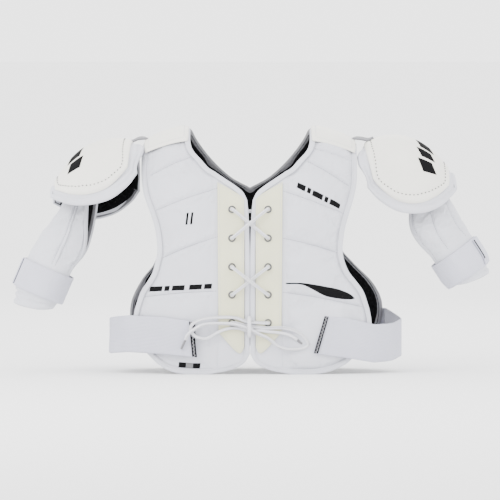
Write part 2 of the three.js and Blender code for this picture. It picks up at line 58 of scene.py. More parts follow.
FORM_WIDTH, FORM_DEPTH, WAIST_TAPER = 230, 110, 10
ROLL_START, ROLL_RUN, HEIGHT = 200, 224, 367
NECK_X, SHOULDER_X, SHOULDER_DROP = 91, 160, 22
SHOULDER_LINE = ROLL_START + ROLL_RUN
GAP = 0.3
EYELET_X, EYELET_ROWS = 27, [247, 204, 161, 119, 77]
LACE_RADIUS = 2.5
SIDES = {"left": 1, "right": -1}
CAP_HINGE = np.array([165.0, 0, 345])
CAP_TILT = {"left": 0, "right": 10}
CAP_ROLL = {"left": 0, "right": 20}
ARM_AXIS = {
    "left": [[252, 0, 300], [266, 0, 260], [280, 0, 211], [303, 0, 177], [331, 0, 133]],
    "right": [[255, -24, 271], [258, -25, 250], [271, -28, 210], [293, -30, 165], [322, -32, 98]],
}
ARM_LENGTH = {"left": 190, "right": 194}
ARM_TOP, ARM_RADIUS, ARM_INNER, ARM_DEPTH, ARM_WALL = 22, 42.5, 0.74, 4, 10
ARM_WRAP = 150
DEGREE = 0.74    # length of one degree round the arm pad
ARM_FOLDS = {"left": 0.2, "right": 0.4}
ARM_TWIST = {"left": 0, "right": -24}
WING_FLARE = {"left": 0, "right": 8}
ARM_SEAMS = {"left": [88, 34], "right": [84, 92]}
BAND_START = {"left": 134, "right": 125}
BAND_SLANT = {"left": 1, "right": -0.5}
BAND_WIDTH = 44
TAB_END = {"left": 34, "right": 6}
HANGER_TOP = {"left": 323, "right": 306}


# ---- Curves and surfaces ----

def unit(v):
    return v / np.maximum(np.linalg.norm(v, axis=-1, keepdims=True), 1e-12)


def smooth(t):
    t = np.clip(t, 0, 1)
    return t * t * (3 - 2 * t)


def catmull(points, per_span=16):
    """Points along a centripetal Catmull-Rom curve through the given ones."""
    p = np.asarray(points, float)
    p = np.vstack([2 * p[0] - p[1], p, 2 * p[-1] - p[-2]])
    out = []
    for i in range(1, len(p) - 2):
        a, b, c, d = p[i - 1:i + 3]
        k0, k1, k2 = (max(np.linalg.norm(v) ** 0.5, 1e-4) for v in (b - a, c - b, d - c))
        start = ((b - a) / k0 - (c - a) / (k0 + k1) + (c - b) / k1) * k1
        finish = ((c - b) / k1 - (d - b) / (k1 + k2) + (d - c) / k2) * k1
        t = np.linspace(0, 1, per_span, endpoint=False)[:, None]
        out.append((2 * t**3 - 3 * t**2 + 1) * b + (t**3 - 2 * t**2 + t) * start
                   + (3 * t**2 - 2 * t**3) * c + (t**3 - t**2) * finish)
    return np.vstack(out + [p[-2:-1]])


def lengths(path):
    steps = np.linalg.norm(np.diff(path, axis=0), axis=1)
    return np.concatenate([[0], np.cumsum(steps)])


def even(path, count):
    """The path sampled again at even steps along its length."""
    path = np.asarray(path, float)
    s = lengths(path)
    at = np.linspace(0, s[-1], count)
    return np.stack([np.interp(at, s, path[:, k]) for k in range(path.shape[1])], axis=1)


def curve(points, count):
    return even(catmull(points), count)


def shoulder_top(x):
    fall = np.clip((np.abs(x) - NECK_X) / (SHOULDER_X - NECK_X), 0, 1.2)
    return HEIGHT - SHOULDER_DROP * fall**1.6


def form(x, run, facing, lift=0.0):
    """A point of the torso form: run up from the hem and over the shoulder, lift off the surface."""
    x, run, lift = np.broadcast_arrays(np.asarray(x, float), run, lift)
    turn = np.clip((run - ROLL_START) / ROLL_RUN, 0, 1) * (math.pi / 2)
    rise = np.sin(turn) ** (1 / 1.1)
    z = np.minimum(run, ROLL_START) + (shoulder_top(x) - ROLL_START) * rise
    low = np.clip((190 - z) / 190, 0, 1)
    depth = FORM_DEPTH - WAIST_TAPER * low * low
    reach = np.minimum((np.abs(x) / FORM_WIDTH) ** 2.5, 0.95)
    y = depth * (1 - reach) ** 0.4 * np.cos(turn)
    slope = (depth / FORM_WIDTH) * (np.abs(x) / FORM_WIDTH) ** 1.5
    steep = slope * (1 - reach) ** -0.6 * np.cos(turn)
    normal = unit(np.stack([np.sign(x) * steep, facing * np.cos(turn), np.sin(turn)], axis=-1))
    return np.stack([x, facing * (y + GAP / 2), z], axis=-1) + normal * lift[..., None]


def run_at(x, z):
    x, z = np.broadcast_arrays(np.asarray(x, float), z)
    rise = np.clip((z - ROLL_START) / (shoulder_top(x) - ROLL_START), 0, 1)
    return np.where(z <= ROLL_START, z,
                    ROLL_START + ROLL_RUN * np.arcsin(rise**1.1) / (math.pi / 2))


def chest(x, z, lift=0.0):
    return form(x, run_at(x, z), -1, lift)


def flat(points):
    """[x, z] as seen from the front, as [x, run] on the form."""
    p = np.asarray(points, float)
    return np.stack([p[:, 0], run_at(p[:, 0], p[:, 1])], axis=1)


def coons(bottom, top, left, right, columns, rows):
    """A grid of [x, run] between four edges."""
    b, t = curve(flat(bottom), columns + 1), curve(flat(top), columns + 1)
    l, r = curve(flat(left), rows + 1), curve(flat(right), rows + 1)
    u = np.linspace(0, 1, columns + 1)[None, :, None]
    v = np.linspace(0, 1, rows + 1)[:, None, None]
    return ((1 - v) * b[None] + v * t[None] + (1 - u) * l[:, None] + u * r[:, None]
            - (1 - u) * (1 - v) * b[0] - u * (1 - v) * b[-1]
            - (1 - u) * v * t[0] - u * v * t[-1])


def distance(grid, path):
    """How far each point of a flat grid is from a path."""
    p = grid.reshape(-1, 1, grid.shape[-1])
    a, b = np.asarray(path)[:-1][None], np.asarray(path)[1:][None]
    along = np.clip(((p - a) * (b - a)).sum(-1) / np.maximum(((b - a) ** 2).sum(-1), 1e-9), 0, 1)
    gap = np.linalg.norm(p - a - along[..., None] * (b - a), axis=-1)
    return gap.min(axis=1).reshape(grid.shape[:-1])


def rim_of(grid):
    """The edge of a grid, once round."""
    return np.concatenate([grid[0, :-1], grid[:-1, -1], grid[-1, :0:-1], grid[:0:-1, 0]])


def refine(grid, times=2):
    """The grid with `times` cells in place of each one, on smooth curves through its points."""
    def along(g):
        g = np.concatenate([2 * g[:1] - g[1:2], g, 2 * g[-1:] - g[-2:-1]])
        a, b, c, d = g[:-3], g[1:-2], g[2:-1], g[3:]
        steps = []
        for t in np.arange(times) / times:
            steps.append(b + 0.5 * t * (c - a + t * (2 * a - 5 * b + 4 * c - d
                                                     + t * (3 * (b - c) + d - a))))
        fine = np.stack(steps, axis=1).reshape(-1, *g.shape[1:])
        return np.concatenate([fine, g[-2:-1]])

    return np.swapaxes(along(np.swapaxes(along(grid), 0, 1)), 0, 1)


def grid_normals(grid):
    along = np.gradient(grid, axis=0)
    across = np.gradient(grid, axis=1)
    return unit(np.cross(across, along))


# ---- Meshes ----

def make(name, points, faces, uv=None, smooth_faces=True):
    mesh = bpy.data.meshes.new(name)
    mesh.from_pydata((np.asarray(points) * MM).tolist(), [], faces)
    if uv is not None:
        layer = mesh.uv_layers.new(name="weave")
        index = np.empty(len(mesh.loops), int)
        mesh.loops.foreach_get("vertex_index", index)
        layer.data.foreach_set("uv", (np.asarray(uv)[index] * MM).ravel())
    mesh.polygons.foreach_set("use_smooth", [smooth_faces] * len(mesh.polygons))
    mesh.update()
    obj = bpy.data.objects.new(name, mesh)
    bpy.context.collection.objects.link(obj)
    return obj


def quads(rows, columns, start=0, wrap=False):
    j, i = np.meshgrid(np.arange(rows - 1), np.arange(columns if wrap else columns - 1), indexing="ij")
    a = start + j * columns + i
    b = start + j * columns + (i + 1) % columns
    return np.stack([a, b, b + columns, a + columns], axis=-1).reshape(-1, 4)


def weave_uv(grid):
    """Cloth lengths across and along a grid, so that a weave keeps its scale."""
    across = np.linalg.norm(np.diff(grid, axis=1), axis=-1)
    along = np.linalg.norm(np.diff(grid, axis=0), axis=-1)
    u = np.concatenate([np.zeros((grid.shape[0], 1)), np.cumsum(across, axis=1)], axis=1)
    u -= u.mean(axis=1, keepdims=True)
    v = np.concatenate([np.zeros((1, grid.shape[1])), np.cumsum(along, axis=0)], axis=0)
    return np.stack([u, v], axis=-1).reshape(-1, 2)


def cushion(name, outer, inner, bulge=1.5, rings=3):
    """A closed form between two grids, with a rounded edge all round."""
    rows, columns = outer.shape[:2]
    size = rows * columns
    index = np.arange(size).reshape(rows, columns)
    edge = rim_of(index)
    top, low = outer.reshape(-1, 3), inner.reshape(-1, 3)
    nearest = np.clip(np.stack(np.unravel_index(edge, (rows, columns)), axis=1),
                      1, [rows - 2, columns - 2])
    out = unit(top[edge] - outer[nearest[:, 0], nearest[:, 1]])
    out = unit(out + np.roll(out, 1, axis=0) + np.roll(out, -1, axis=0))
    points = [top, low]
    uv = [weave_uv(outer)] * 2
    for k in range(1, rings + 1):
        t = k / (rings + 1)
        points.append(top[edge] * (1 - t) + low[edge] * t + out * bulge * math.sin(math.pi * t))
        uv.append(uv[0][edge] + [k, k])
    faces = [quads(rows, columns), quads(rows, columns, size)[:, ::-1]]
    n = len(edge)
    loops = [edge] + [2 * size + k * n + np.arange(n) for k in range(rings)] + [edge + size]
    for a, b in zip(loops, loops[1:]):
        faces.append(np.stack([a, b, np.roll(b, -1), np.roll(a, -1)], axis=1))
    points = np.concatenate(points)
    faces = np.concatenate(faces)
    corners = points[faces]
    volume = np.einsum("ij,ij->i", corners[:, 0], np.cross(corners[:, 1], corners[:, 2])).sum()
    if volume < 0:
        faces = faces[:, ::-1]
    return make(name, points, faces.tolist(), np.concatenate(uv))


def sweep(name, path, up, section, closed=False):
    """A section [[across, up], ...] drawn along a path. Section may differ from point to point."""
    path, up = np.asarray(path, float), np.asarray(up, float)
    n = len(path)
    tangent = (np.roll(path, -1, axis=0) - np.roll(path, 1, axis=0)) if closed else np.gradient(path, axis=0)
    tangent = unit(tangent)
    side = unit(np.cross(tangent, up))
    up = unit(np.cross(side, tangent))
    section = np.asarray(section, float)
    if section.ndim == 2:
        section = np.repeat(section[None], n, axis=0)
    m = section.shape[1]
    points = path[:, None] + side[:, None] * section[..., :1] + up[:, None] * section[..., 1:]
    run = lengths(path)
    round_ = lengths(np.vstack([section[0], section[0][:1]]))[:-1]
    uv = np.stack(np.broadcast_arrays(round_[None, :], run[:, None]), axis=-1).reshape(-1, 2)
    faces = quads(n, m, wrap=True).tolist()
    if closed:
        last = (n - 1) * m
        faces += [[last + k, last + (k + 1) % m, (k + 1) % m, k] for k in range(m)]
    else:
        faces += [list(range(m))[::-1], list(range((n - 1) * m, n * m))]
    points = points.reshape(-1, 3)
    obj = make(name, points, faces, uv)
    fix_normals(obj)
    return obj


def fix_normals(obj):
    work = bmesh.new()
    work.from_mesh(obj.data)
    bmesh.ops.recalc_face_normals(work, faces=work.faces)
    work.to_mesh(obj.data)
    work.free()


def join(name, parts):
    """Several meshes as one piece."""
    for part in parts:
        part.select_set(True)
    bpy.context.view_layer.objects.active = parts[0]
    with bpy.context.temp_override(active_object=parts[0], selected_editable_objects=parts,
                                   selected_objects=parts):
        bpy.ops.object.join()
    parts[0].name = name
    parts[0].data.name = name
    parts[0].select_set(False)
    return parts[0]


class Skin:
    """A surface that thread, tape and marks are laid on."""

    def __init__(self, grid):
        grid = np.asarray(grid)
        rows, columns = grid.shape[:2]
        faces = quads(rows, columns).tolist()
        self.tree = BVHTree.FromPolygons(grid.reshape(-1, 3).tolist(), faces)

    def under(self, points, normals, lift=0.0, reach=30):
        """The points dropped on to the skin along their normals, and the skin's normals there."""
        found, facing = [], []
        for p, n in zip(np.asarray(points, float), np.asarray(normals, float)):
            hit, normal, _, _ = self.tree.ray_cast(Vector(p + n * reach), Vector(-n), 2.5 * reach)
            if hit is None:
                hit, normal, _, _ = self.tree.find_nearest(Vector(p))
            normal = np.array(normal)
            normal = normal if normal @ n > 0 else -normal
            found.append(np.array(hit) + normal * lift)
            facing.append(normal)
        return np.array(found), np.array(facing)


def inflate(grid, stitched, cap, pressure=4.0, slack=0.02, wrap=False):
    """Cloth held where it is stitched and blown up in between, by cloth simulation."""
    rows, columns = grid.shape[:2]
    start = grid + rng.normal(0, 0.05, grid.shape)
    faces = quads(rows, columns, wrap=wrap)
    obj = make("cloth_work", start.reshape(-1, 3), faces.tolist())
    group = obj.vertex_groups.new(name="stitched")
    group.add(np.flatnonzero(stitched).tolist(), 1.0, "REPLACE")
    cloth = obj.modifiers.new("Cloth", "CLOTH")
    cloth.settings.quality = 4
    cloth.settings.vertex_group_mass = "stitched"
    cloth.settings.use_pressure = True
    cloth.settings.uniform_pressure_force = pressure
    cloth.settings.shrink_min = -slack
    cloth.settings.effector_weights.gravity = 0
    cloth.collision_settings.use_collision = False
    for number in range(1, 21):
        bpy.context.scene.frame_set(number)
    done = obj.evaluated_get(bpy.context.evaluated_depsgraph_get())
    moved = np.empty(rows * columns * 3)
    done.data.vertices.foreach_get("co", moved)
    moved = moved.reshape(rows, columns, 3) / MM
    bpy.data.objects.remove(obj)
    bpy.context.scene.frame_set(1)
    move = moved - grid
    size = np.linalg.norm(move, axis=-1)
    limit = np.broadcast_to(cap, size.shape)
    kept = limit * np.tanh(size / np.maximum(limit, 1e-6))
    return grid + move * (kept / np.maximum(size, 1e-9))[..., None]


def stitches(name, path, normals, pitch=3.6, length=2.5, radius=0.36):
    """A row of thread stitches along a path."""
    total = lengths(path)[-1]
    count = max(2, int(total / pitch))
    at = np.linspace(pitch / 2, total - pitch / 2, count)
    s = lengths(path)
    centre = np.stack([np.interp(at, s, path[:, k]) for k in range(3)], axis=1)
    up = unit(np.stack([np.interp(at, s, normals[:, k]) for k in range(3)], axis=1))
    ahead = np.stack([np.interp(at + 0.5, s, path[:, k]) - np.interp(at - 0.5, s, path[:, k])
                      for k in range(3)], axis=1)
    along = unit(ahead)
    side = unit(np.cross(along, up))
    rings = [(-0.5, 0.35, -0.5), (-0.32, 0.95, 0.25), (0.32, 0.95, 0.25), (0.5, 0.35, -0.5)]
    ring_sides = 6
    points = []
    for reach, girth, lift in rings:
        for k in range(ring_sides):
            turn = 2 * math.pi * k / ring_sides
            points.append(centre + along * reach * length + side * radius * girth * math.cos(turn)
                          + up * radius * (lift + girth * math.sin(turn)))
    points = np.stack(points, axis=1)
    each = len(rings) * ring_sides
    one = quads(len(rings), ring_sides, wrap=True).tolist()
    one += [list(range(ring_sides))[::-1], list(range(each - ring_sides, each))]
    faces = [[each * c + v for v in face] for c in range(count) for face in one]
    return make(name, points.reshape(-1, 3), faces)


# ---- Materials ----

class Nodes:
    def __init__(self, name, roughness, specular=0.3, sheen=0.0, metallic=0.0):
        self.material = bpy.data.materials.new(name)
        self.material.use_nodes = True
        self.tree = self.material.node_tree
        self.shader = self.tree.nodes["Principled BSDF"]
        self.shader.inputs["Roughness"].default_value = roughness
        self.shader.inputs["Specular IOR Level"].default_value = specular
        self.shader.inputs["Metallic"].default_value = metallic
        if sheen:
            self.shader.inputs["Sheen Weight"].default_value = sheen
            self.shader.inputs["Sheen Roughness"].default_value = 0.45

    def add(self, kind, **values):
        node = self.tree.nodes.new(kind)
        for key, value in values.items():
            if key in ("operation", "wave_type", "bands_direction", "feature", "blend_type",
                       "data_type", "distance", "wave_profile"):
                setattr(node, key, value)
        return node

    def link(self, out, into):
        self.tree.links.new(out, into)

    def coords(self, uv=False):
        source = self.add("ShaderNodeTexCoord")
        return source.outputs["UV" if uv else "Object"]

    def noise(self, coords, scale, detail=3.0, roughness=0.5):
        node = self.add("ShaderNodeTexNoise")
        node.inputs["Scale"].default_value = scale
        node.inputs["Detail"].default_value = detail
        node.inputs["Roughness"].default_value = roughness
        self.link(coords, node.inputs["Vector"])
        return node.outputs["Fac"]

    def bands(self, coords, period, direction="X", distortion=0.0):
        """Ribs with the given period in metres."""
        node = self.add("ShaderNodeTexWave", wave_type="BANDS", bands_direction=direction,
                        wave_profile="SIN")
        node.inputs["Scale"].default_value = 0.314159 / period
        node.inputs["Distortion"].default_value = distortion
        node.inputs["Detail"].default_value = 1.0
        self.link(coords, node.inputs["Vector"])
        return node.outputs["Fac"]

    def cells(self, coords, scale, feature="F1"):
        node = self.add("ShaderNodeTexVoronoi", feature=feature)
        node.inputs["Scale"].default_value = scale
        self.link(coords, node.inputs["Vector"])
        return node.outputs["Distance"]

    def math(self, operation, a, b):
        node = self.add("ShaderNodeMath", operation=operation)
        for slot, value in zip(node.inputs, (a, b)):
            if isinstance(value, (int, float)):
                slot.default_value = value
            else:
                self.link(value, slot)
        return node.outputs[0]

    def ramp(self, fac, low, high, low_at=0.3, high_at=0.7):
        node = self.add("ShaderNodeValToRGB")
        node.color_ramp.elements[0].position = low_at
        node.color_ramp.elements[1].position = high_at
        node.color_ramp.elements[0].color = (*low, 1)
        node.color_ramp.elements[1].color = (*high, 1)
        self.link(fac, node.inputs["Fac"])
        return node.outputs["Color"]

    def colour(self, value):
        self.link(value, self.shader.inputs["Base Color"])

    def rough(self, fac, low, high):
        node = self.add("ShaderNodeMapRange")
        node.inputs["To Min"].default_value = low
        node.inputs["To Max"].default_value = high
        self.link(fac, node.inputs["Value"])
        self.link(node.outputs[0], self.shader.inputs["Roughness"])

    def bump(self, height, depth, strength=1.0):
        node = self.add("ShaderNodeBump")
        node.inputs["Strength"].default_value = strength
        node.inputs["Distance"].default_value = depth
        self.link(height, node.inputs["Height"])
        previous = self.shader.inputs["Normal"].links
        if previous:
            self.link(previous[0].from_socket, node.inputs["Normal"])
        self.link(node.outputs["Normal"], self.shader.inputs["Normal"])


def shade(colour, factor):
    return tuple(min(c * factor, 1.0) for c in colour)


def knit(name, colour, depth=0.00022):
    """Brushed tricot knit: fine wales and courses under a soft nap."""
    n = Nodes(name, 0.88, 0.2, sheen=0.25)
    cloth, space = n.coords(uv=True), n.coords()
    wales = n.bands(cloth, 0.0011, "X", 0.6)
    courses = n.bands(cloth, 0.0009, "Y", 0.6)
    nap = n.noise(space, 1400, 4, 0.65)
    soil = n.noise(space, 14, 5, 0.6)
    n.colour(n.ramp(n.math("ADD", n.math("MULTIPLY", soil, 0.8), n.math("MULTIPLY", nap, 0.2)),
                    shade(colour, 0.93), shade(colour, 1.02)))
    n.rough(nap, 0.8, 0.95)
    n.bump(n.noise(space, 90, 4, 0.6), 0.0009, 0.35)
    n.bump(n.math("ADD", n.math("MULTIPLY", wales, courses), n.math("MULTIPLY", nap, 0.8)), depth, 0.7)
    return n.material


def twill(name, colour, period=0.0016):
    """Woven tape with a diagonal rib."""
    n = Nodes(name, 0.85, 0.2, sheen=0.15)
    cloth, space = n.coords(uv=True), n.coords()
    ribs = n.bands(cloth, period, "DIAGONAL", 0.3)
    fibre = n.noise(space, 1500, 3, 0.6)
    soil = n.noise(space, 20, 4, 0.6)
    n.colour(n.ramp(n.math("ADD", n.math("MULTIPLY", soil, 0.6), n.math("MULTIPLY", ribs, 0.4)),
                    shade(colour, 0.86), shade(colour, 1.04)))
    n.rough(fibre, 0.75, 0.92)
    n.bump(n.math("ADD", ribs, n.math("MULTIPLY", fibre, 0.5)), 0.0003, 0.8)
    return n.material


def elastic(name, colour, direction="X"):
    """Ribbed woven elastic: cords along the strap, crossed by a fine weft."""
    n = Nodes(name, 0.85, 0.25, sheen=0.12)
    cloth, space = n.coords(uv=True), n.coords()
    across = "Y" if direction == "X" else "X"
    ribs = n.bands(cloth, 0.0021, direction, 0.15)
    weft = n.bands(cloth, 0.0009, across, 0.4)
    fibre = n.noise(space, 1700, 3, 0.6)
    soil = n.noise(space, 18, 5, 0.6)
    tone = n.math("ADD", n.math("MULTIPLY", soil, 0.55), n.math("MULTIPLY", ribs, 0.3))
    n.colour(n.ramp(n.math("ADD", tone, n.math("MULTIPLY", weft, 0.15)),
                    shade(colour, 0.9), shade(colour, 1.04)))
    n.rough(fibre, 0.75, 0.92)
    n.bump(n.noise(space, 60, 3, 0.5), 0.0008, 0.3)
    n.bump(n.math("ADD", ribs, n.math("MULTIPLY", weft, 0.6)), 0.00035, 0.8)
    return n.material


def leather(name, colour, roughness=0.42, grain=0.00016):
    """Synthetic leather: a fine pebbled grain, creased a little and greyer where it is handled."""
    n = Nodes(name, roughness, 0.4)
    space = n.coords()
    pebbles = n.cells(space, 620, "SMOOTH_F1")
    fine = n.noise(space, 900, 4, 0.6)
    creases = n.noise(space, 45, 6, 0.7)
    soil = n.noise(space, 11, 6, 0.65)
    n.colour(n.ramp(n.math("ADD", n.math("MULTIPLY", soil, 0.75), n.math("MULTIPLY", creases, 0.25)),
                    shade(colour, 0.91), shade(colour, 1.03)))
    n.rough(n.math("ADD", n.math("MULTIPLY", fine, 0.5), n.math("MULTIPLY", soil, 0.5)),
            roughness - 0.08, roughness + 0.14)
    n.bump(creases, 0.0007, 0.3)
    n.bump(n.math("ADD", pebbles, n.math("MULTIPLY", fine, 0.4)), grain, 0.8)
    return n.material


def net(name, colour, light):
    """Warp-knit lining with a small open mesh."""
    n = Nodes(name, 0.95, 0.05)
    cloth, space = n.coords(uv=True), n.coords()
    holes = n.cells(cloth, 420)
    fibre = n.noise(space, 1300, 3, 0.6)
    n.colour(n.ramp(n.math("ADD", n.math("MULTIPLY", holes, 1.1), n.math("MULTIPLY", fibre, 0.25)),
                    light, colour, 0.25, 0.6))
    n.bump(n.math("SUBTRACT", 1.0, holes), 0.0005, 0.8)
    return n.material


def thread(name, colour):
    n = Nodes(name, 0.7, 0.3, sheen=0.1)
    space = n.coords()
    strands = n.noise(space, 2200, 2, 0.5)
    n.colour(n.ramp(strands, shade(colour, 0.85), shade(colour, 1.05)))
    n.bump(strands, 0.0001, 0.6)
    return n.material


def braid(name, colour):
    """Round braided lace: two sets of plaits that cross."""
    n = Nodes(name, 0.85, 0.2, sheen=0.2)
    cloth, space = n.coords(uv=True), n.coords()
    split = n.add("ShaderNodeSeparateXYZ")
    n.link(cloth, split.inputs[0])
    turn = n.math("MULTIPLY", split.outputs["X"], 2 * math.pi * 4 / (2 * math.pi * LACE_RADIUS * MM))
    run = n.math("MULTIPLY", split.outputs["Y"], 2 * math.pi / 0.0036)
    one = n.math("SINE", n.math("ADD", turn, run), 0.0)
    two = n.math("SINE", n.math("SUBTRACT", turn, run), 0.0)
    plaits = n.math("MAXIMUM", one, two)
    fibre = n.noise(space, 1900, 3, 0.6)
    soil = n.noise(space, 30, 3, 0.6)
    n.colour(n.ramp(n.math("ADD", n.math("MULTIPLY", plaits, 0.35), n.math("MULTIPLY", soil, 0.6)),
                    shade(colour, 0.8), shade(colour, 1.04), 0.05, 0.65))
    n.rough(fibre, 0.78, 0.94)
    n.bump(n.math("ADD", plaits, n.math("MULTIPLY", fibre, 0.5)), 0.0004, 0.9)
    return n.material


def metal(name, colour):
    n = Nodes(name, 0.25, 0.5, metallic=1.0)
    space = n.coords()
    scratch = n.noise(space, 700, 5, 0.7)
    n.colour(n.ramp(scratch, shade(colour, 0.82), shade(colour, 1.05)))
    n.rough(scratch, 0.16, 0.36)
    n.bump(scratch, 0.00006, 0.4)
    return n.material


def plastic(name, colour, roughness=0.35):
    n = Nodes(name, roughness, 0.5)
    space = n.coords()
    flow = n.noise(space, 300, 4, 0.6)
    n.colour(n.ramp(flow, shade(colour, 0.9), shade(colour, 1.1)))
    n.rough(flow, roughness - 0.06, roughness + 0.12)
    n.bump(flow, 0.00008, 0.4)
    return n.material


def zigzag(name, dark, light):
    """Black hook tape with a light woven zigzag down its middle."""
    n = Nodes(name, 0.9, 0.06)
    cloth, space = n.coords(uv=True), n.coords()
    split = n.add("ShaderNodeSeparateXYZ")
    n.link(cloth, split.inputs[0])
    saw = n.math("PINGPONG", split.outputs["Y"], 0.0026)
    line = n.math("ABSOLUTE", n.math("SUBTRACT", n.math("ADD", split.outputs["X"], 0.0013), saw), 0.0)
    mask = n.math("LESS_THAN", line, 0.0006)
    hooks = n.cells(space, 900)
    n.colour(n.ramp(mask, dark, light, 0.4, 0.6))
    n.bump(hooks, 0.0005, 0.8)
    return n.material


def felt(name, colour, rough=0.8):
    """A flat heat-pressed mark."""
    n = Nodes(name, rough, 0.06)
    space = n.coords()
    grain = n.noise(space, 1200, 3, 0.6)
    n.colour(n.ramp(grain, shade(colour, 0.8), shade(colour, 1.3)))
    n.rough(grain, rough - 0.15, rough + 0.1)
    n.bump(grain, 0.00012, 0.6)
    return n.material


WHITE = (0.625, 0.632, 0.69)
CREAM = (0.67, 0.66, 0.46)
CAP_CREAM = (0.80, 0.785, 0.725)
# Painted shade: the white elastic of the straps and arm bands is coloured a darker lavender-grey, the tint
# it takes in shade.
ELASTIC_WHITE_PAINTED_SHADE = (0.56, 0.565, 0.655)

MATERIALS = {
    "quilt": knit("white_knit", WHITE),
    "binding": twill("white_tape", shade(WHITE, 0.99)),
    "grey_binding": twill("grey_tape", (0.13, 0.13, 0.14)),
    # Painted light: a lighter, bluer copy of the grey tape, standing for the light that falls on the back
    # panel's sides.
    "lit_grey_binding": twill("lit_grey_tape", (0.17, 0.17, 0.185)),
    "facing": leather("cream_facing", CREAM, 0.5, 0.00008),
    "cap": leather("cap_leather", CAP_CREAM),
    "lining": net("black_lining", (0.003, 0.003, 0.0035), (0.016, 0.016, 0.018)),
    # Both elastics take the white elastic's colour with painted shade in it.
    "elastic": elastic("white_elastic", ELASTIC_WHITE_PAINTED_SHADE, "Y"),
    "band": elastic("band_elastic", shade(ELASTIC_WHITE_PAINTED_SHADE, 1.02), "Y"),
    "webbing": twill("grey_webbing", (0.20, 0.20, 0.215), 0.002),
    "thread": thread("white_thread", (0.62, 0.62, 0.66)),
    "dark_thread": thread("dark_thread", (0.045, 0.045, 0.05)),
    # Partly painted shade: the quilting thread is dark grey for the dark stitch dots along the seams, and
    # darkened further to stand in for the shade of the seam creases.
    "seam_thread": thread("seam_thread", (0.22, 0.22, 0.26)),
    "lace": braid("braided_lace", (0.76, 0.76, 0.80)),
    # Painted reflection: the nickel's colour is darkened far below bare nickel, standing for darker
    # surroundings than the white world it mirrors.
    "nickel": metal("nickel", (0.14, 0.14, 0.15)),
    "tip": plastic("tip_plastic", (0.16, 0.16, 0.17)),
    "hook": zigzag("hook_tape", (0.005, 0.005, 0.006), (0.30, 0.30, 0.32)),
    "loop": felt("loop_pile", (0.006, 0.006, 0.007), 0.9),
    "ink": felt("black_mark", (0.004, 0.004, 0.0045), 0.75),
    "grey_ink": felt("grey_mark", (0.16, 0.16, 0.165), 0.75),
}


def dress(obj, material, slot, body, *nodes):
    """Gives a piece its material and its body, and hides the solids that it stands for. The slot is not
    used.
    """
    obj.data.materials.clear()
    obj.data.materials.append(MATERIALS[material])
    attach(obj, body)
    if nodes:
        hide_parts(*nodes)
    return obj


# ---- Camera ----

VIEW_WIDTH = 0.750
VIEW_CENTRE = Vector((0, -0.1, 0.186))
LENS, SENSOR = 500, 36
ELEVATION = math.radians(2.0)

lens = bpy.data.cameras.new("camera")
lens.lens = LENS
lens.sensor_width = SENSOR
camera = bpy.data.objects.new("camera", lens)
bpy.context.collection.objects.link(camera)
reach = VIEW_WIDTH * LENS / SENSOR
camera.location = VIEW_CENTRE + reach * Vector((0, -math.cos(ELEVATION), math.sin(ELEVATION)))
camera.rotation_euler = (math.pi / 2 - ELEVATION, 0, 0)
bpy.context.scene.camera = camera

# ---- Lace ----


def through(at, front, back):
    """The lace through an eyelet, front to back."""
    at, front, back = (np.array(p, float) for p in (at, front, back))
    a, b = at + 5 * unit(front - at), at + 4 * unit(back - at)
    return [[a[0], 5.4, a[1]], [at[0], 2.6, at[1]], [at[0], -8.4, at[1]], [b[0], -10.4, b[1]]]


def lace_points():
    """[x, lift off the chest, z] from the tail on the -X side to the one on +X."""
    def hole(side, row):
        return [side * EYELET_X, EYELET_ROWS[row - 1]]

    def into(start, at, onward):
        return through(at, start, onward)

    def out_of(start, at, onward):
        return through(at, onward, start)[::-1]

    tail_and_loop = [
        [-95, 11.5, 52], [-93, 13.5, 57], [-88, 16, 63], [-80, 14, 69], [-70, 8, 74], [-50, 5, 76],
        [-32, 8.5, 76], [-21, 10.6, 74.8], [-9, 9.8, 71], [0, 9.2, 68], [8, 8.5, 63], [16, 6, 59],
        [24, 4, 55.5], [32, 3.6, 50], [41, 3.6, 42], [53, 3.6, 37.5], [68, 3.6, 37], [81, 3.6, 39],
        [87, 3.6, 44], [84, 3.6, 52], [74, 3.6, 61.5], [60, 3.6, 67.5], [45, 3.6, 69.8],
        [27, 3.6, 69.2], [13, 3.8, 70.5], [0, 3.6, 71.5], [-12, 4, 74.5]]
    loop_and_tail = [
        [12, 4, 77.5], [0, 3.6, 78], [-10, 3.8, 80.5], [-18, 3.8, 84], [-28, 3.8, 85.5],
        [-45, 3.6, 85.5], [-62, 4.5, 84.5], [-75, 8, 81.5], [-84, 9.8, 76.5], [-88, 10.4, 70],
        [-86.5, 10.6, 63], [-81, 11, 57], [-74, 9.5, 54], [-67, 5, 53], [-59, 3.8, 56],
        [-48, 3.8, 62.5], [-36, 3.8, 67.5], [-26, 3.8, 69.3], [-16, 4, 68.5], [-8, 3.6, 66],
        [0, 3.6, 64.5], [8, 3.6, 65], [16, 3.6, 65.5], [27, 3.6, 63.8], [40, 3.6, 62.5],
        [52, 3.6, 60.5], [62, 3.6, 57], [70, 3.6, 51.5]]
    return (tail_and_loop + into([0, 77], hole(-1, 5), hole(-1, 4))
            + out_of(hole(-1, 5), hole(-1, 4), hole(1, 3)) + [[0, 3.4, 140]]
            + into(hole(-1, 4), hole(1, 3), hole(1, 2))
            + out_of(hole(1, 3), hole(1, 2), hole(-1, 1)) + [[0, 3.4, 225.5]]
            + into(hole(1, 2), hole(-1, 1), hole(1, 1))
            + out_of(hole(-1, 1), hole(1, 1), hole(-1, 2)) + [[0, 9.2, 225.5]]
            + into(hole(1, 1), hole(-1, 2), hole(-1, 3))
            + out_of(hole(-1, 2), hole(-1, 3), hole(1, 4)) + [[0, 9.2, 140]]
            + into(hole(-1, 3), hole(1, 4), hole(1, 5))
            + out_of(hole(1, 4), hole(1, 5), [0, 77]) + loop_and_tail)


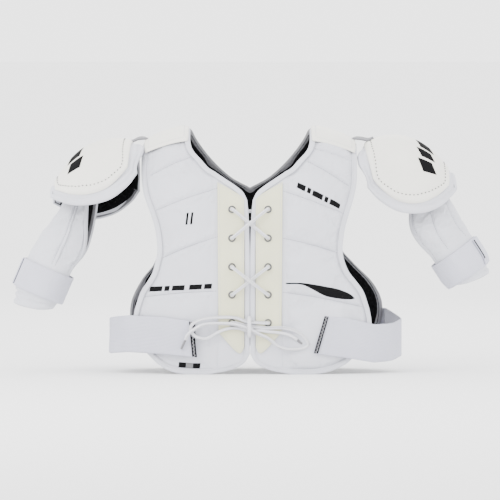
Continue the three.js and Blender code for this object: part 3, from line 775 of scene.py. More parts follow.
def on_chest(points):
    p = np.asarray(points, float)
    return chest(p[:, 0], p[:, 2], p[:, 1])


def carried(path):
    """Up vectors that turn with a path and don't twist."""
    tangent = unit(np.gradient(path, axis=0))
    up = unit(np.cross(tangent[0], [0.3, 0.1, 1.0]))
    out = []
    for t in tangent:
        up = unit(up - t * (up @ t))
        out.append(up)
    return np.array(out)


def round_section(count, sides, radii, flatten=1.0):
    turn = np.linspace(0, 2 * math.pi, sides, endpoint=False)
    ring = np.stack([np.cos(turn), np.sin(turn) * flatten], axis=1)
    return ring[None] * np.broadcast_to(radii, count)[:, None, None]


def cord(name, route, radius, sides=12, step=1.5):
    path = catmull(route, 12)
    path = even(path, int(lengths(path)[-1] / step))
    wobble = 1 + 0.025 * np.sin(lengths(path) * 2 * math.pi / 3.6)
    return sweep(name, path, carried(path), round_section(len(path), sides, radius * wobble)), path


lace_route = on_chest(lace_points())
lace, lace_path = cord("lace_braid", lace_route, LACE_RADIUS)
dress(lace, "lace", "lace_white", "vest", "lace")

knot_route = on_chest([[-1, 3, 84.5], [-1, 7, 83.4], [-1, 11.4, 80], [-1, 14.2, 75],
                       [-1, 15.4, 69], [-1, 13.6, 63], [-1, 9, 59], [-1, 3, 57.6]])
knot, _ = cord("lace_knot_turn", knot_route, 2.9)
dress(knot, "lace", "lace_white", "vest", "lace_knot")

TIPS = {
    "right": [[-95.3, 11.3, 51.3], [-98.5, 10.8, 44.5], [-102, 10.4, 37.5]],
    "left": [[70.8, 3.6, 51], [74.5, 3.4, 47.8], [78, 3.2, 45]],
}
for name, points in TIPS.items():
    path = curve(on_chest(points), 24)
    places, girths = [0, 0.04, 0.08, 0.85, 0.95, 1], [1.5, 1.95, 1.8, 1.7, 1.45, 0.9]
    radii = np.interp(np.linspace(0, 1, 24), places, girths)
    tip = sweep(f"lace_tip_{name}", path, carried(path), round_section(24, 14, radii))
    dress(tip, "tip", "aglet_grey", "vest", f"aglet_{name}")

float(lengths(lace_path)[-1] * MM)

# ---- Front panels ----

ARMHOLE = [[139, 183], [140, 201], [143, 220], [149, 242], [156, 265], [160, 285], [161, 320],
           [160, 367]]
SIDE_EDGE = [[180, 58], [183, 72], [181, 90], [177, 105], [170, 124], [160, 138], [149, 152],
             [142, 168]]
NECK_EDGE = [[50, 302], [62, 309], [74, 322], [85, 334], [90, 345], [91, 367]]
FRONT_HEM = [[50, 2], [60, 0], [102, 0], [127, 6], [145, 15], [160, 29], [172, 42], [180, 58]]
PLACKET_TOP = [[5, 262], [11, 274], [20, 282], [36, 293], [49.7, 302]]
PLACKET_FOOT = [[1.2, 30], [8, 18], [20, 10], [38, 4], [49.7, 2]]
CENTRE_EDGE = [[1.2, 30], [1.2, 186], [3, 240], [5, 262]]
TUCK = {"left": 0, "right": 6.5}

# Quilting seams as seen from the front, [x, z] from end to end, on each wearer's side.
SEAMS = {
    "right": [[(82, 330), (150, 300)], [(48, 280.5), (142.5, 246)], [(46.5, 207), (139, 171)],
              [(50, 124.5), (172, 113)]],
    "left": [[(87, 321), (150, 283)], [(49.5, 276), (146, 239)], [(49.5, 204), (139, 179)],
             [(49, 123), (174, 99)], [(97, 340), (158, 319)]],
}


def seam_paths(lines, bow=2.0):
    """Each seam on the form as [x, run], bowed a little between its ends."""
    paths = []
    for a, b in lines:
        a, b = np.array(a, float), np.array(b, float)
        t = np.linspace(0, 1, 30)[:, None]
        across = a + (b - a) * t
        across[:, 1] += bow * np.sin(math.pi * t[:, 0])
        paths.append(flat(across))
    return paths


def quilted(grid, facing, side, seams, thick=12.0, edge=7.0):
    """The faces of a quilted pad on the form: outer, inner, and the distance from the edge."""
    rim = rim_of(grid)
    from_edge = distance(grid, np.vstack([rim, rim[:1]]))
    from_seam = np.minimum.reduce([distance(grid, path) for path in seams])
    near = np.minimum(np.maximum(from_edge - 9.0, 0), from_seam)
    lift = -3.0 + 3.4 * (1 - np.exp(-(near / 6.0) ** 1.1))
    start = form(side * grid[..., 0], grid[..., 1], facing, lift)
    spacing = np.median(np.linalg.norm(np.diff(grid, axis=0), axis=-1))
    held = (from_seam < 0.75 * spacing) | (from_edge < 8.0)
    outer = refine(inflate(start, held, 2.6 * smooth(near / 6.0), slack=0.03))

    # Along each seam: a narrow crease, and puckers where the thread gathers the cloth.
    fine, from_edge = refine(grid), refine(from_edge)
    from_seam = np.minimum.reduce([distance(fine, path) for path in seams])
    up = unit(form(side * fine[..., 0], fine[..., 1], facing, 1)
              - form(side * fine[..., 0], fine[..., 1], facing, 0))
    x, run = fine[..., 0], fine[..., 1]
    gather = np.sin(0.62 * x + 0.9 * np.sin(0.05 * run + 0.11 * x)) * np.sin(0.23 * x + 0.04 * run)
    crease = -1.9 * np.exp(-(from_seam / 1.7) ** 2) + 0.42 * gather * np.exp(-((from_seam - 4) / 3.5) ** 2)
    dents = 0.5 * np.sin(0.045 * x + 0.03 * run + side) * np.sin(0.05 * run - 0.02 * x)
    inside = smooth((from_edge - 7) / 6)
    outer = outer + up * ((crease + dents) * inside)[..., None]
    depth = edge + (thick - edge) * smooth(from_edge / 22)
    inner = form(side * fine[..., 0], fine[..., 1], facing, -depth)
    return outer, inner, from_edge


def lay_seams(name, skin, seams, facing, side, body, material="seam_thread", pitch=3.6):
    rows = []
    for k, path in enumerate(seams):
        line = even(path, 60)
        points = form(side * line[:, 0], line[:, 1], facing, 0)
        normals = unit(form(side * line[:, 0], line[:, 1], facing, 1) - points)
        points, normals = skin.under(points, normals, 0.1)
        rows.append(stitches(f"{name}_{k}", points, normals, pitch, 2.3, 0.4))
    return dress(join(name, rows), material, "quilted_white", body)


def lay_lining(name, grid, facing, side, seams, node):
    """The lining of a quilted pad, sewn through on the same seams."""
    fall = distance(grid, np.vstack([rim_of(grid), rim_of(grid)[:1]]))
    dimple = np.minimum.reduce([distance(grid, path) for path in seams])
    x, run = side * grid[..., 0], grid[..., 1]
    depth = 7 + 5 * smooth(fall / 22) + 0.5 - 0.9 * np.exp(-(dimple / 4) ** 2)
    outer = form(x, run, facing, -depth)
    inner = form(x, run, facing, -depth - 1.8 - 0.8 * smooth(dimple / 20))
    return dress(cushion(name, outer, inner, 0.4, 1), "lining", "lining_black", "vest", node)


def tape_section(width, top, bottom, out, thick=0.9):
    """A tape folded round an edge: [inward, up] from the front lip round to the back lip."""
    span = top - bottom
    outer = [[width, top - 0.3], [width * 0.85, top + 0.25], [width * 0.45, top + 0.3],
             [width * 0.1, top - 0.2], [-0.6 * out, top - 0.14 * span], [-out, top - 0.35 * span],
             [-out, top - 0.65 * span], [-0.6 * out, bottom + 0.14 * span], [width * 0.1, bottom + 0.2],
             [width * 0.5, bottom], [width, bottom + 0.3]]
    inner = [[width, bottom + 0.3 + thick], [width * 0.4, bottom + thick + 0.1],
             [0.4, bottom + 0.2 * span], [-out + thick, top - 0.6 * span],
             [-out + thick, top - 0.4 * span], [0.4, top - 0.2 * span],
             [width * 0.4, top - thick + 0.1], [width, top - 0.3 - thick]]
    return np.array(outer + inner)


def bind(name, path, facing, side, top, bottom, width=8.0, out=1.2, flip=1):
    """Binding tape along an edge given as [x, run], with the panel on its left."""
    base = form(side * path[:, 0], path[:, 1], facing, 0)
    up = unit(form(side * path[:, 0], path[:, 1], facing, 1) - base)
    count = len(path)
    top, bottom, width = (np.broadcast_to(v, count) for v in (top, bottom, width))
    ripple = 0.12 * np.sin(np.arange(count) * 0.9) + rng.normal(0, 0.03, count)
    section = np.stack([tape_section(w, t + r, b, out) for w, t, b, r in zip(width, top, bottom, ripple)])
    section[..., 0] *= flip
    return sweep(name, base, up, section)


def tucked(points, name):
    """The side of a front panel, drawn in where it hangs closer to the middle."""
    x, z = np.asarray(points, float).T
    full = TUCK[name] * 0.35 * smooth((z - 225) / 40) * smooth((362 - z) / 20)
    drawn = TUCK[name] * smooth((x - 108) / 45) * smooth((170 - z) / 40)
    return np.stack([x - drawn + full, z], axis=1).tolist()


def edge_line(points, inset):
    """A path [x, run] moved inwards from an edge that has its panel on the left."""
    ahead = unit(np.gradient(points, axis=0))
    return points + np.stack([-ahead[:, 1], ahead[:, 0]], axis=1) * inset


front_skins = {}
for name, side in SIDES.items():
    grid = coons(tucked(FRONT_HEM, name), [[NECK_X, HEIGHT], [SHOULDER_X, HEIGHT]], [[50, 2], *NECK_EDGE],
                 tucked(SIDE_EDGE + ARMHOLE, name), 56, 150)
    seams = seam_paths(SEAMS[name])
    outer, inner, from_edge = quilted(grid, -1, side, seams)
    pad = cushion(f"chest_quilt_{name}", outer, inner, 0.8)
    dress(pad, "quilt", "quilted_white", "vest", f"chest_pad_{name}")
    skin = Skin(outer)
    front_skins[name] = skin
    lay_seams(f"chest_seams_{name}", skin, seams, -1, side, "vest")

    lay_lining(f"chest_mesh_{name}", grid[::3, ::3], -1, side, seams, f"chest_lining_{name}")

    # Placket, punched by the eyelets' barrels.
    strip = coons(PLACKET_FOOT, PLACKET_TOP, CENTRE_EDGE, [[49.7, 2], [49.7, 302]], 24, 140)
    rim = distance(strip, np.vstack([rim_of(strip), rim_of(strip)[:1]]))
    top = form(side * strip[..., 0], strip[..., 1], -1, -3 - 0.5 * np.exp(-(rim / 3) ** 2))
    low = form(side * strip[..., 0], strip[..., 1], -1, -6.6 + 0.5 * np.exp(-(rim / 3) ** 2))
    placket = cushion(f"placket_{name}", top, low, 0.4)
    dress(placket, "quilt", "quilted_white", "vest", f"lacing_placket_{name}")

    # Facing strip, a little wavy between the eyelets.
    strip = coons([[9, 40], [15, 31], [47, 62]], [[9, 262], [15, 268], [48.7, 288]],
                  [[9, 40], [9, 262]], [[47, 62], [48.7, 288]], 26, 150)
    rim = distance(strip, np.vstack([rim_of(strip), rim_of(strip)[:1]]))
    spots = np.array([[EYELET_X, run_at(EYELET_X, z)] for z in EYELET_ROWS])
    pull = np.min(np.linalg.norm(strip[:, :, None] - spots[None, None], axis=-1), axis=-1)
    wave = (0.35 * np.sin(strip[..., 1] / 11 + side) * smooth(rim / 6) * smooth((pull - 5) / 6)
            - 0.55 * np.exp(-((rim - 2.6) / 1.1) ** 2) - 0.5 * np.exp(-(rim / 1.2) ** 2)
            - 0.3 * np.exp(-((pull - 7) / 3) ** 2))
    top = form(side * strip[..., 0], strip[..., 1], -1, 0.1 + wave)
    low = form(side * strip[..., 0], strip[..., 1], -1, -1.9)
    facing = cushion(f"facing_{name}", top, low, 0.3, 2)
    dress(facing, "facing", "facing_cream", "vest", f"lacing_facing_{name}")
    facing_skin = Skin(top)
    loop = even(np.vstack([rim_of(strip), rim_of(strip)[:1]]), 400)
    inset = edge_line(loop, 2.6)
    points = form(side * inset[:, 0], inset[:, 1], -1, 0)
    normals = unit(form(side * inset[:, 0], inset[:, 1], -1, 1) - points)
    points, normals = facing_skin.under(points, normals, 0.1)
    dress(stitches(f"facing_stitches_{name}", points, normals, 3.2, 2.3, 0.3), "thread",
          "facing_cream", "vest")

    # Binding: one tape from the neck down the centre and round the hem to the shoulder.
    neck = curve(flat(NECK_EDGE[::-1]), 90)
    placket_top = curve(flat(PLACKET_TOP[::-1]), 50)
    centre = curve(flat(CENTRE_EDGE[::-1]), 130)
    foot = curve(flat(PLACKET_FOOT), 40)
    hem = curve(flat(tucked(FRONT_HEM, name)), 110)
    arm = curve(flat(tucked(SIDE_EDGE + ARMHOLE, name)), 240)
    whole = even(np.vstack([neck, placket_top[1:], centre[1:], foot[1:], hem[1:], arm[1:]]), 620)
    on_pad = smooth((np.abs(whole[:, 0]) - 46) / 12)
    top = -2.2 * (1 - on_pad) - 0.3 * on_pad
    bottom = -7.3 * np.ones(len(whole))
    binding = bind(f"front_binding_{name}", whole, -1, side, top, bottom, 7.5, 0.8, flip=-side)
    dress(binding, "binding", "quilted_white", "vest")
    inset = edge_line(whole, 5.6)
    points = form(side * inset[:, 0], inset[:, 1], -1, 0)
    normals = unit(form(side * inset[:, 0], inset[:, 1], -1, 1) - points)
    points = points + normals * (top + 0.32)[:, None]
    dress(stitches(f"front_binding_stitches_{name}", points, normals, 3.4), "thread",
          "quilted_white", "vest")

    # Eyelets: rolled nickel grommets.
    profile = np.array([[3.6, -6.9], [4.3, -6.9], [4.3, -0.4], [4.3, 0.3], [5.5, 0.32], [5.8, 0.5],
                        [5.75, 0.9], [5.3, 1.3], [4.7, 1.5], [4.1, 1.35], [3.7, 1.0],
                        [3.6, 0.5], [3.6, -3.0]])
    for row, z in enumerate(EYELET_ROWS):
        base = chest(side * EYELET_X, float(z))
        axis = unit(chest(side * EYELET_X, float(z), 1.0) - base)
        across = unit(np.cross(axis, [0, 0, 1.0]))
        third = np.cross(axis, across)
        turn = np.linspace(0, 2 * math.pi, 40, endpoint=False)
        ring = np.cos(turn)[:, None] * across + np.sin(turn)[:, None] * third
        points = base + ring[None] * profile[:, None, :1] + axis * profile[:, None, 1:]
        m = len(profile)
        faces = quads(m, 40, wrap=True).tolist()
        faces += [[(m - 1) * 40 + k, (m - 1) * 40 + (k + 1) % 40, (k + 1) % 40, k] for k in range(40)]
        ring = make(f"grommet_{name}_{row + 1}", points.reshape(-1, 3), faces)
        fix_normals(ring)
        dress(ring, "nickel", "eyelet_nickel", "vest", f"eyelet_{name}_{row + 1}")

# ---- Back panel ----

BACK_FOOT = [[-174, 48], [-152, 24], [-130, 9], [-106, 0], [-56, 0], [-30, 12], [0, 34],
             [30, 12], [56, 0], [106, 0], [134, 8], [166, 26], [193, 50]]
BACK_NECK = [[91, 367], [81, 350], [60, 321], [30, 292], [0, 275]]
BACK_SIDES = {
    "left": [[193, 50], [202, 80], [201, 105], [188, 130], [160, 158], *ARMHOLE],
    "right": [[174, 48], [183, 75], [181, 103], [165, 135], [147, 158], *ARMHOLE],
}


def mirrored(points):
    return [[-x, z] for x, z in points]


def back_grid(columns, rows):
    top = np.vstack([
        even(flat([[-SHOULDER_X, HEIGHT], [-NECK_X, HEIGHT]]), 30),
        curve(flat(mirrored(BACK_NECK)), 60)[1:],
        curve(flat(BACK_NECK), 60)[::-1][1:],
        even(flat([[NECK_X, HEIGHT], [SHOULDER_X, HEIGHT]]), 30)[1:]])
    b, t = curve(flat(BACK_FOOT), columns + 1), even(top, columns + 1)
    r = curve(flat(BACK_SIDES["left"]), rows + 1)
    l = curve(flat(BACK_SIDES["right"]), rows + 1) * [-1, 1]
    u = np.linspace(0, 1, columns + 1)[None, :, None]
    v = np.linspace(0, 1, rows + 1)[:, None, None]
    return ((1 - v) * b[None] + v * t[None] + (1 - u) * l[:, None] + u * r[:, None]
            - (1 - u) * (1 - v) * b[0] - u * (1 - v) * b[-1]
            - (1 - u) * v * t[0] - u * v * t[-1])


BACK_SEAMS = [[(0, 266), (0, 42)], [(6, 236), (142, 262)], [(6, 168), (136, 190)],
              [(6, 98), (172, 118)], [(6, 40), (150, 52)], [(60, 316), (150, 316)]]
grid = back_grid(124, 126)
seams = seam_paths(BACK_SEAMS, 0)
seams += [path * [-1, 1] for path in seams[1:]]
outer, inner, _ = quilted(grid, 1, 1, seams)
back = cushion("back_quilt", outer, inner, 0.8)
dress(back, "quilt", "quilted_white", "vest", "back_pad")
back_skin = Skin(outer)
lay_seams("back_seams", back_skin, seams, 1, 1, "vest")

lay_lining("back_mesh", grid[::2, ::2], 1, 1, seams, "back_lining")

half_neck = curve(flat(BACK_NECK), 90)
neckline = even(np.vstack([half_neck, (half_neck * [-1, 1])[::-1][1:]]), 220)
dress(bind("back_neck_binding", neckline, 1, 1, -0.3, -10.6, 8, 0.9, flip=1), "grey_binding",
      "webbing_grey", "vest")
left_edge = curve(flat(BACK_SIDES["left"]), 200)
right_edge = curve(flat(BACK_SIDES["right"]), 200) * [-1, 1]
outline = even(np.vstack([right_edge[::-1], curve(flat(BACK_FOOT), 200)[1:], left_edge[1:]]), 640)
# The edge tape uses the lighter copy of the grey tape, with painted light in it.
dress(bind("back_edge_binding", outline, 1, 1, -0.3, -10.6, 7.5, 0.8, flip=1), "lit_grey_binding",
      "webbing_grey", "vest")
inset = edge_line(outline, 5.6)
points = form(inset[:, 0], inset[:, 1], 1, 0.02)
normals = unit(form(inset[:, 0], inset[:, 1], 1, 1) - form(inset[:, 0], inset[:, 1], 1, 0))
dress(stitches("back_binding_stitches", points, normals, 3.4), "thread", "quilted_white", "vest")

# ---- Yokes over the shoulders ----

YOKE_RUN = 352


def from_edges(grid):
    """How far each point of a grid lies from its four edges, along the surface."""
    across = np.linalg.norm(np.diff(grid, axis=1), axis=-1)
    along = np.linalg.norm(np.diff(grid, axis=0), axis=-1)
    u = np.concatenate([np.zeros((grid.shape[0], 1)), np.cumsum(across, axis=1)], axis=1)
    v = np.concatenate([np.zeros((1, grid.shape[1])), np.cumsum(along, axis=0)], axis=0)
    return u, u[:, -1:] - u, v, v[-1:] - v


for name, side in SIDES.items():
    v = np.linspace(-1, 1, 73)[:, None]
    u = np.linspace(0, 1, 35)[None, :]
    run = SHOULDER_LINE + (YOKE_RUN - SHOULDER_LINE) * np.abs(v) + 0 * u
    corner = 1.5 * (np.abs(v) ** 8)
    x = (NECK_X + 2 + corner) * (1 - u) + (SHOULDER_X - 1 - corner) * u
    facing = np.where(v <= 0, -1, 1) + 0 * u
    base = form(side * x, run, facing, 0)
    up = unit(form(side * x, run, facing, 1) - base)
    base[36, :, 1] = 0
    edge = np.minimum.reduce(from_edges(base))
    top = (4.6 + 1.1 * smooth(edge / 14) - 0.9 * np.exp(-((edge - 4.5) / 1.2) ** 2)
           - 1.6 * np.exp(-(edge / 1.6) ** 2))
    yoke = cushion(f"yoke_leather_{name}", base + up * top[..., None], base + up * 0.7, 0.7)
    dress(yoke, "cap", "cap_cream", "vest", f"shoulder_yoke_{name}")
    face = base + up * (top + 0.1)[..., None]
    loop = rim_of(face[3:-3, 3:-3])
    ups = rim_of(up[3:-3, 3:-3])
    dress(stitches(f"yoke_stitches_{name}", loop, ups, 3.6), "thread", "cap_cream", "vest")

# ---- Side straps ----

STRAP_LOOP = {
    "left": [[207, 50], [217, 30], [226, 9], [228, -2], [225, -13], [204, -60], [187, -76.5]],
    "right": [[189, 68], [201, 46], [209, 22], [211, -8], [209, -34], [201, -57], [187, -76.5]],
}
STRAP_END = {"left": 95, "right": 79}
STRAP_SLANT = {"left": 0.07, "right": 0.02}
STRAP_LOW = {"left": [38, 24, 17.5, 16, 24, 31], "right": [34, 29, 28, 32, 30, 25]}
STRAP_HIGH = {"left": [92, 80, 73.5, 73, 84, 89], "right": [76, 78, 82, 87, 85, 78]}
STRAP_THICK, STRAP_LIFT, ROOT_LIFT = 2.2, 2.0, 1.0


def strap_sheet(name, start, finish, columns, rows, lift, low=0.0, high=1.0):
    """A stretch of the side strap: its points, and its outward normals."""
    ends = [x for x in [170, 150, 130, 111, 95, 79] if x >= STRAP_END[name]]
    front = [chest(x, 84.0, STRAP_LIFT + 0.1)[:2] for x in ends]
    plan = catmull(np.vstack([STRAP_LOOP[name], front]), 24)
    s = lengths(plan) / lengths(plan)[-1]
    h = np.linspace(low, high, rows + 1)[:, None]
    t = np.linspace(start, finish, columns + 1)[None, :] * (1 - STRAP_SLANT[name] * h)
    x, y = np.interp(t, s, plan[:, 0]), np.interp(t, s, plan[:, 1])
    tangent = np.gradient(plan, s, axis=0)
    tx, ty = np.interp(t, s, tangent[:, 0]), np.interp(t, s, tangent[:, 1])
    normal = unit(np.stack([-ty, tx, 0 * tx], axis=-1))
    stops = np.linspace(0, 1, 6)
    foot, head = np.interp(t, stops, STRAP_LOW[name]), np.interp(t, stops, STRAP_HIGH[name])
    points = np.stack([x, y, foot + (head - foot) * h], axis=-1)
    points = points + normal * np.broadcast_to(lift, t.shape)[..., None]
    side = SIDES[name]
    return points * [side, 1, 1], normal * [side, 1, 1], t, h + 0 * t


def strap_root(name, rows=24, columns=40):
    """The strap's sewn end: over the quilting of the back panel and round its edge to the hinge line."""
    start, ahead = np.array(STRAP_LOOP[name][:2], float)
    ahead = unit(ahead - start)
    reach = start[0] + np.array([-42, -34, -26, -18, -11, -4.0])
    over_quilt = ROOT_LIFT + 2.4 * smooth((start[0] - 8 - reach) / 16)
    free = [start - ahead * back for back in (3, 0.15)]
    points = []
    for z in np.linspace(STRAP_LOW[name][0], STRAP_HIGH[name][0], rows + 1):
        plan = np.vstack([form(reach, z, 1, over_quilt)[:, :2], free])
        plan = even(catmull(plan, 12), columns + 1)
        points.append(np.hstack([plan, np.full((columns + 1, 1), z)]))
    points = np.array(points)
    ahead = unit(np.gradient(points, axis=1))
    normal = unit(np.stack([-ahead[..., 1], ahead[..., 0], 0 * ahead[..., 0]], axis=-1))
    return points * [SIDES[name], 1, 1], normal * [SIDES[name], 1, 1]


for name, side in SIDES.items():
    low, normal = strap_root(name)
    lip = np.minimum.reduce(from_edges(low)[2:])
    top = low + normal * (STRAP_THICK - 0.3 - 0.5 * np.exp(-(lip / 0.8) ** 2))[..., None]
    dress(cushion(f"strap_sewn_end_{name}", top, low, 0.3, 2), "elastic", "elastic_white", "vest",
          f"strap_root_{name}")
    inset = (slice(2, -2), slice(3, 28))
    dress(stitches(f"strap_root_stitches_{name}", rim_of(top[inset]), rim_of(normal[inset]), 3.0, 2.1, 0.3),
          "thread", "elastic_white", "vest")

for name, side in SIDES.items():
    body = f"strap_{name}"
    inner, normal, t, h = strap_sheet(name, 0, 1, 190, 26, 0)
    free = smooth((0.72 - t) / 0.15)
    sway = free * (0.9 * np.sin(9 * t + 2.2 * h + side) + 0.5 * np.sin(23 * t - 4 * h))
    edge = np.minimum(h, 1 - h) * 56
    cord_edge = 0.25 * np.exp(-((edge - 1.6) / 1.0) ** 2) - 0.5 * np.exp(-(edge / 0.8) ** 2)
    sway = sway - 0.6 * free * (2 * h - 1) ** 2
    low = inner + normal * (0.05 + np.maximum(sway, -0.2))[..., None]
    top = low + normal * (STRAP_THICK - 0.4 + cord_edge)[..., None]
    strap = cushion(f"strap_elastic_{name}", top, low, 0.3, 2)
    dress(strap, "elastic", "elastic_white", body, f"side_strap_{name}")
    skin = Skin(top)

    # Stitching across both ends, and the hook tab under the free one.
    for k, place in enumerate([0.925, 0.962, 0.035]):
        points, ups, _, _ = strap_sheet(name, place, place, 1, 40, STRAP_THICK - 0.2, 0.04, 0.96)
        dress(stitches(f"strap_stitches_{name}_{k}", points[:, 0], ups[:, 0], 3.0, 2.1, 0.3), "thread",
              "elastic_white", body)
    low, normal, t, h = strap_sheet(name, 0.974, 1.0, 10, 40, STRAP_THICK + GAP, 0.01, 0.99)
    ridge = 0.25 * np.sin(np.pi * np.linspace(0, 1, 11))[None, :]
    tab = cushion(f"strap_tab_{name}", low + normal * (1.0 + ridge)[..., None], low, 0.2, 1)
    dress(tab, "hook", "hook_black", body, f"strap_hook_tab_{name}")

    # Loop patch on the chest, under the strap's end.
    end = STRAP_END[name]
    patch = coons([[end + 3, 34], [end + 34, 30]], [[end + 3, 76], [end + 34, 71]],
                  [[end + 3, 34], [end + 3, 76]], [[end + 34, 30], [end + 34, 71]], 16, 20)
    rise = 0.25 + 0.1 * rng.random(patch.shape[:2])
    top = form(side * patch[..., 0], patch[..., 1], -1, 1.3 + rise)
    low = form(side * patch[..., 0], patch[..., 1], -1, 0.45)
    dress(cushion(f"loop_pile_{name}", top, low, 0.2, 1), "loop", "hook_black", "vest",
          f"loop_patch_{name}")

# ---- Shoulder caps ----

CREST = [[3, 0, -6], [20, 0, 6], [52, 0, 12], [85, 0, 5], [113, 0, -14], [132, 0, -34], [143, 0, -49]]
CAP_RIM = [[13, 62, -67], [27, 68, -83], [57, 72, -101], [93, 71, -104], [121, 60, -96],
           [139, 43, -82], [146, 27, -70]]
CAP_REAR = 0.83
SHELL_MIDDLE = {"left": 0.46, "right": 0.505}
CREST_LINE, RIM_LINE = catmull(CREST, 32), catmull(CAP_RIM, 32)


def cap_dome(s, turn):
    """Points of the cap's outer surface and their normals. s runs outwards, turn front to back."""
    place = np.clip(s, 0, 1) * (len(CREST_LINE) - 1)
    index = np.arange(len(CREST_LINE))
    top = np.stack([np.interp(place, index, CREST_LINE[:, k]) for k in range(3)], axis=-1)
    edge = np.stack([np.interp(place, index, RIM_LINE[:, k]) for k in range(3)], axis=-1)
    sine, cosine = np.sin(np.radians(turn)), np.maximum(np.cos(np.radians(turn)), 0)
    rear = CAP_REAR - 0.2 * smooth((s - 0.45) / 0.55)
    drop = (edge[..., 2] - top[..., 2]) * (1 - (1 - rear) * smooth((turn + 25) / 50))
    mix = cosine**1.2
    return np.stack([edge[..., 0] * (1 - mix) + top[..., 0] * mix, edge[..., 1] * sine,
                     top[..., 2] + drop * (1 - cosine**0.85)], axis=-1)


def cap_turn(name):
    """The cap's own frame, turned to the way this side hangs."""
    side = SIDES[name]
    tilt, roll = math.radians(side * CAP_TILT[name]), -math.radians(CAP_ROLL[name])
    about_y = np.array([[math.cos(tilt), 0, math.sin(tilt)], [0, 1, 0],
                        [-math.sin(tilt), 0, math.cos(tilt)]])
    about_x = np.array([[1, 0, 0], [0, math.cos(roll), -math.sin(roll)],
                        [0, math.sin(roll), math.cos(roll)]])
    return about_y @ about_x


def cap_place(name, points):
    side = SIDES[name]
    return (points * [side, 1, 1]) @ cap_turn(name).T + CAP_HINGE * [side, 1, 1]


def outward(grid, centre):
    normal = grid_normals(grid)
    return np.where(((grid - centre) * normal).sum(-1, keepdims=True) < 0, -normal, normal)


def inset_line(lip, inset):
    """A smooth loop of [row, column] round a grid, where `lip`, the way in from its edge, is `inset`."""
    rows, columns = lip.shape
    line = []
    for angle in np.linspace(0, 2 * math.pi, 361)[:-1]:
        walk = np.outer(np.linspace(8, 75, 200), [math.sin(angle), math.cos(angle)])
        walk = np.clip(walk + [rows / 2, columns / 2], 0, [rows - 1, columns - 1])
        values = lip[tuple(walk.astype(int).T)]
        below = np.flatnonzero(values < inset)
        line.append(walk[below[0] if len(below) else -1])
    line = np.array(line)
    for _ in range(6):
        line = (np.roll(line, 1, axis=0) + line + np.roll(line, -1, axis=0)) / 3
    return line


def sample(field, line):
    """A grid's values at the places [row, column] of a line, between its points."""
    place = np.floor(line).astype(int).clip(0, np.array(field.shape[:2]) - 2)
    j, i = place.T
    fj, fi = (line - place).T[..., None]
    return ((1 - fj) * (1 - fi) * field[j, i] + (1 - fj) * fi * field[j, i + 1]
            + fj * (1 - fi) * field[j + 1, i] + fj * fi * field[j + 1, i + 1])


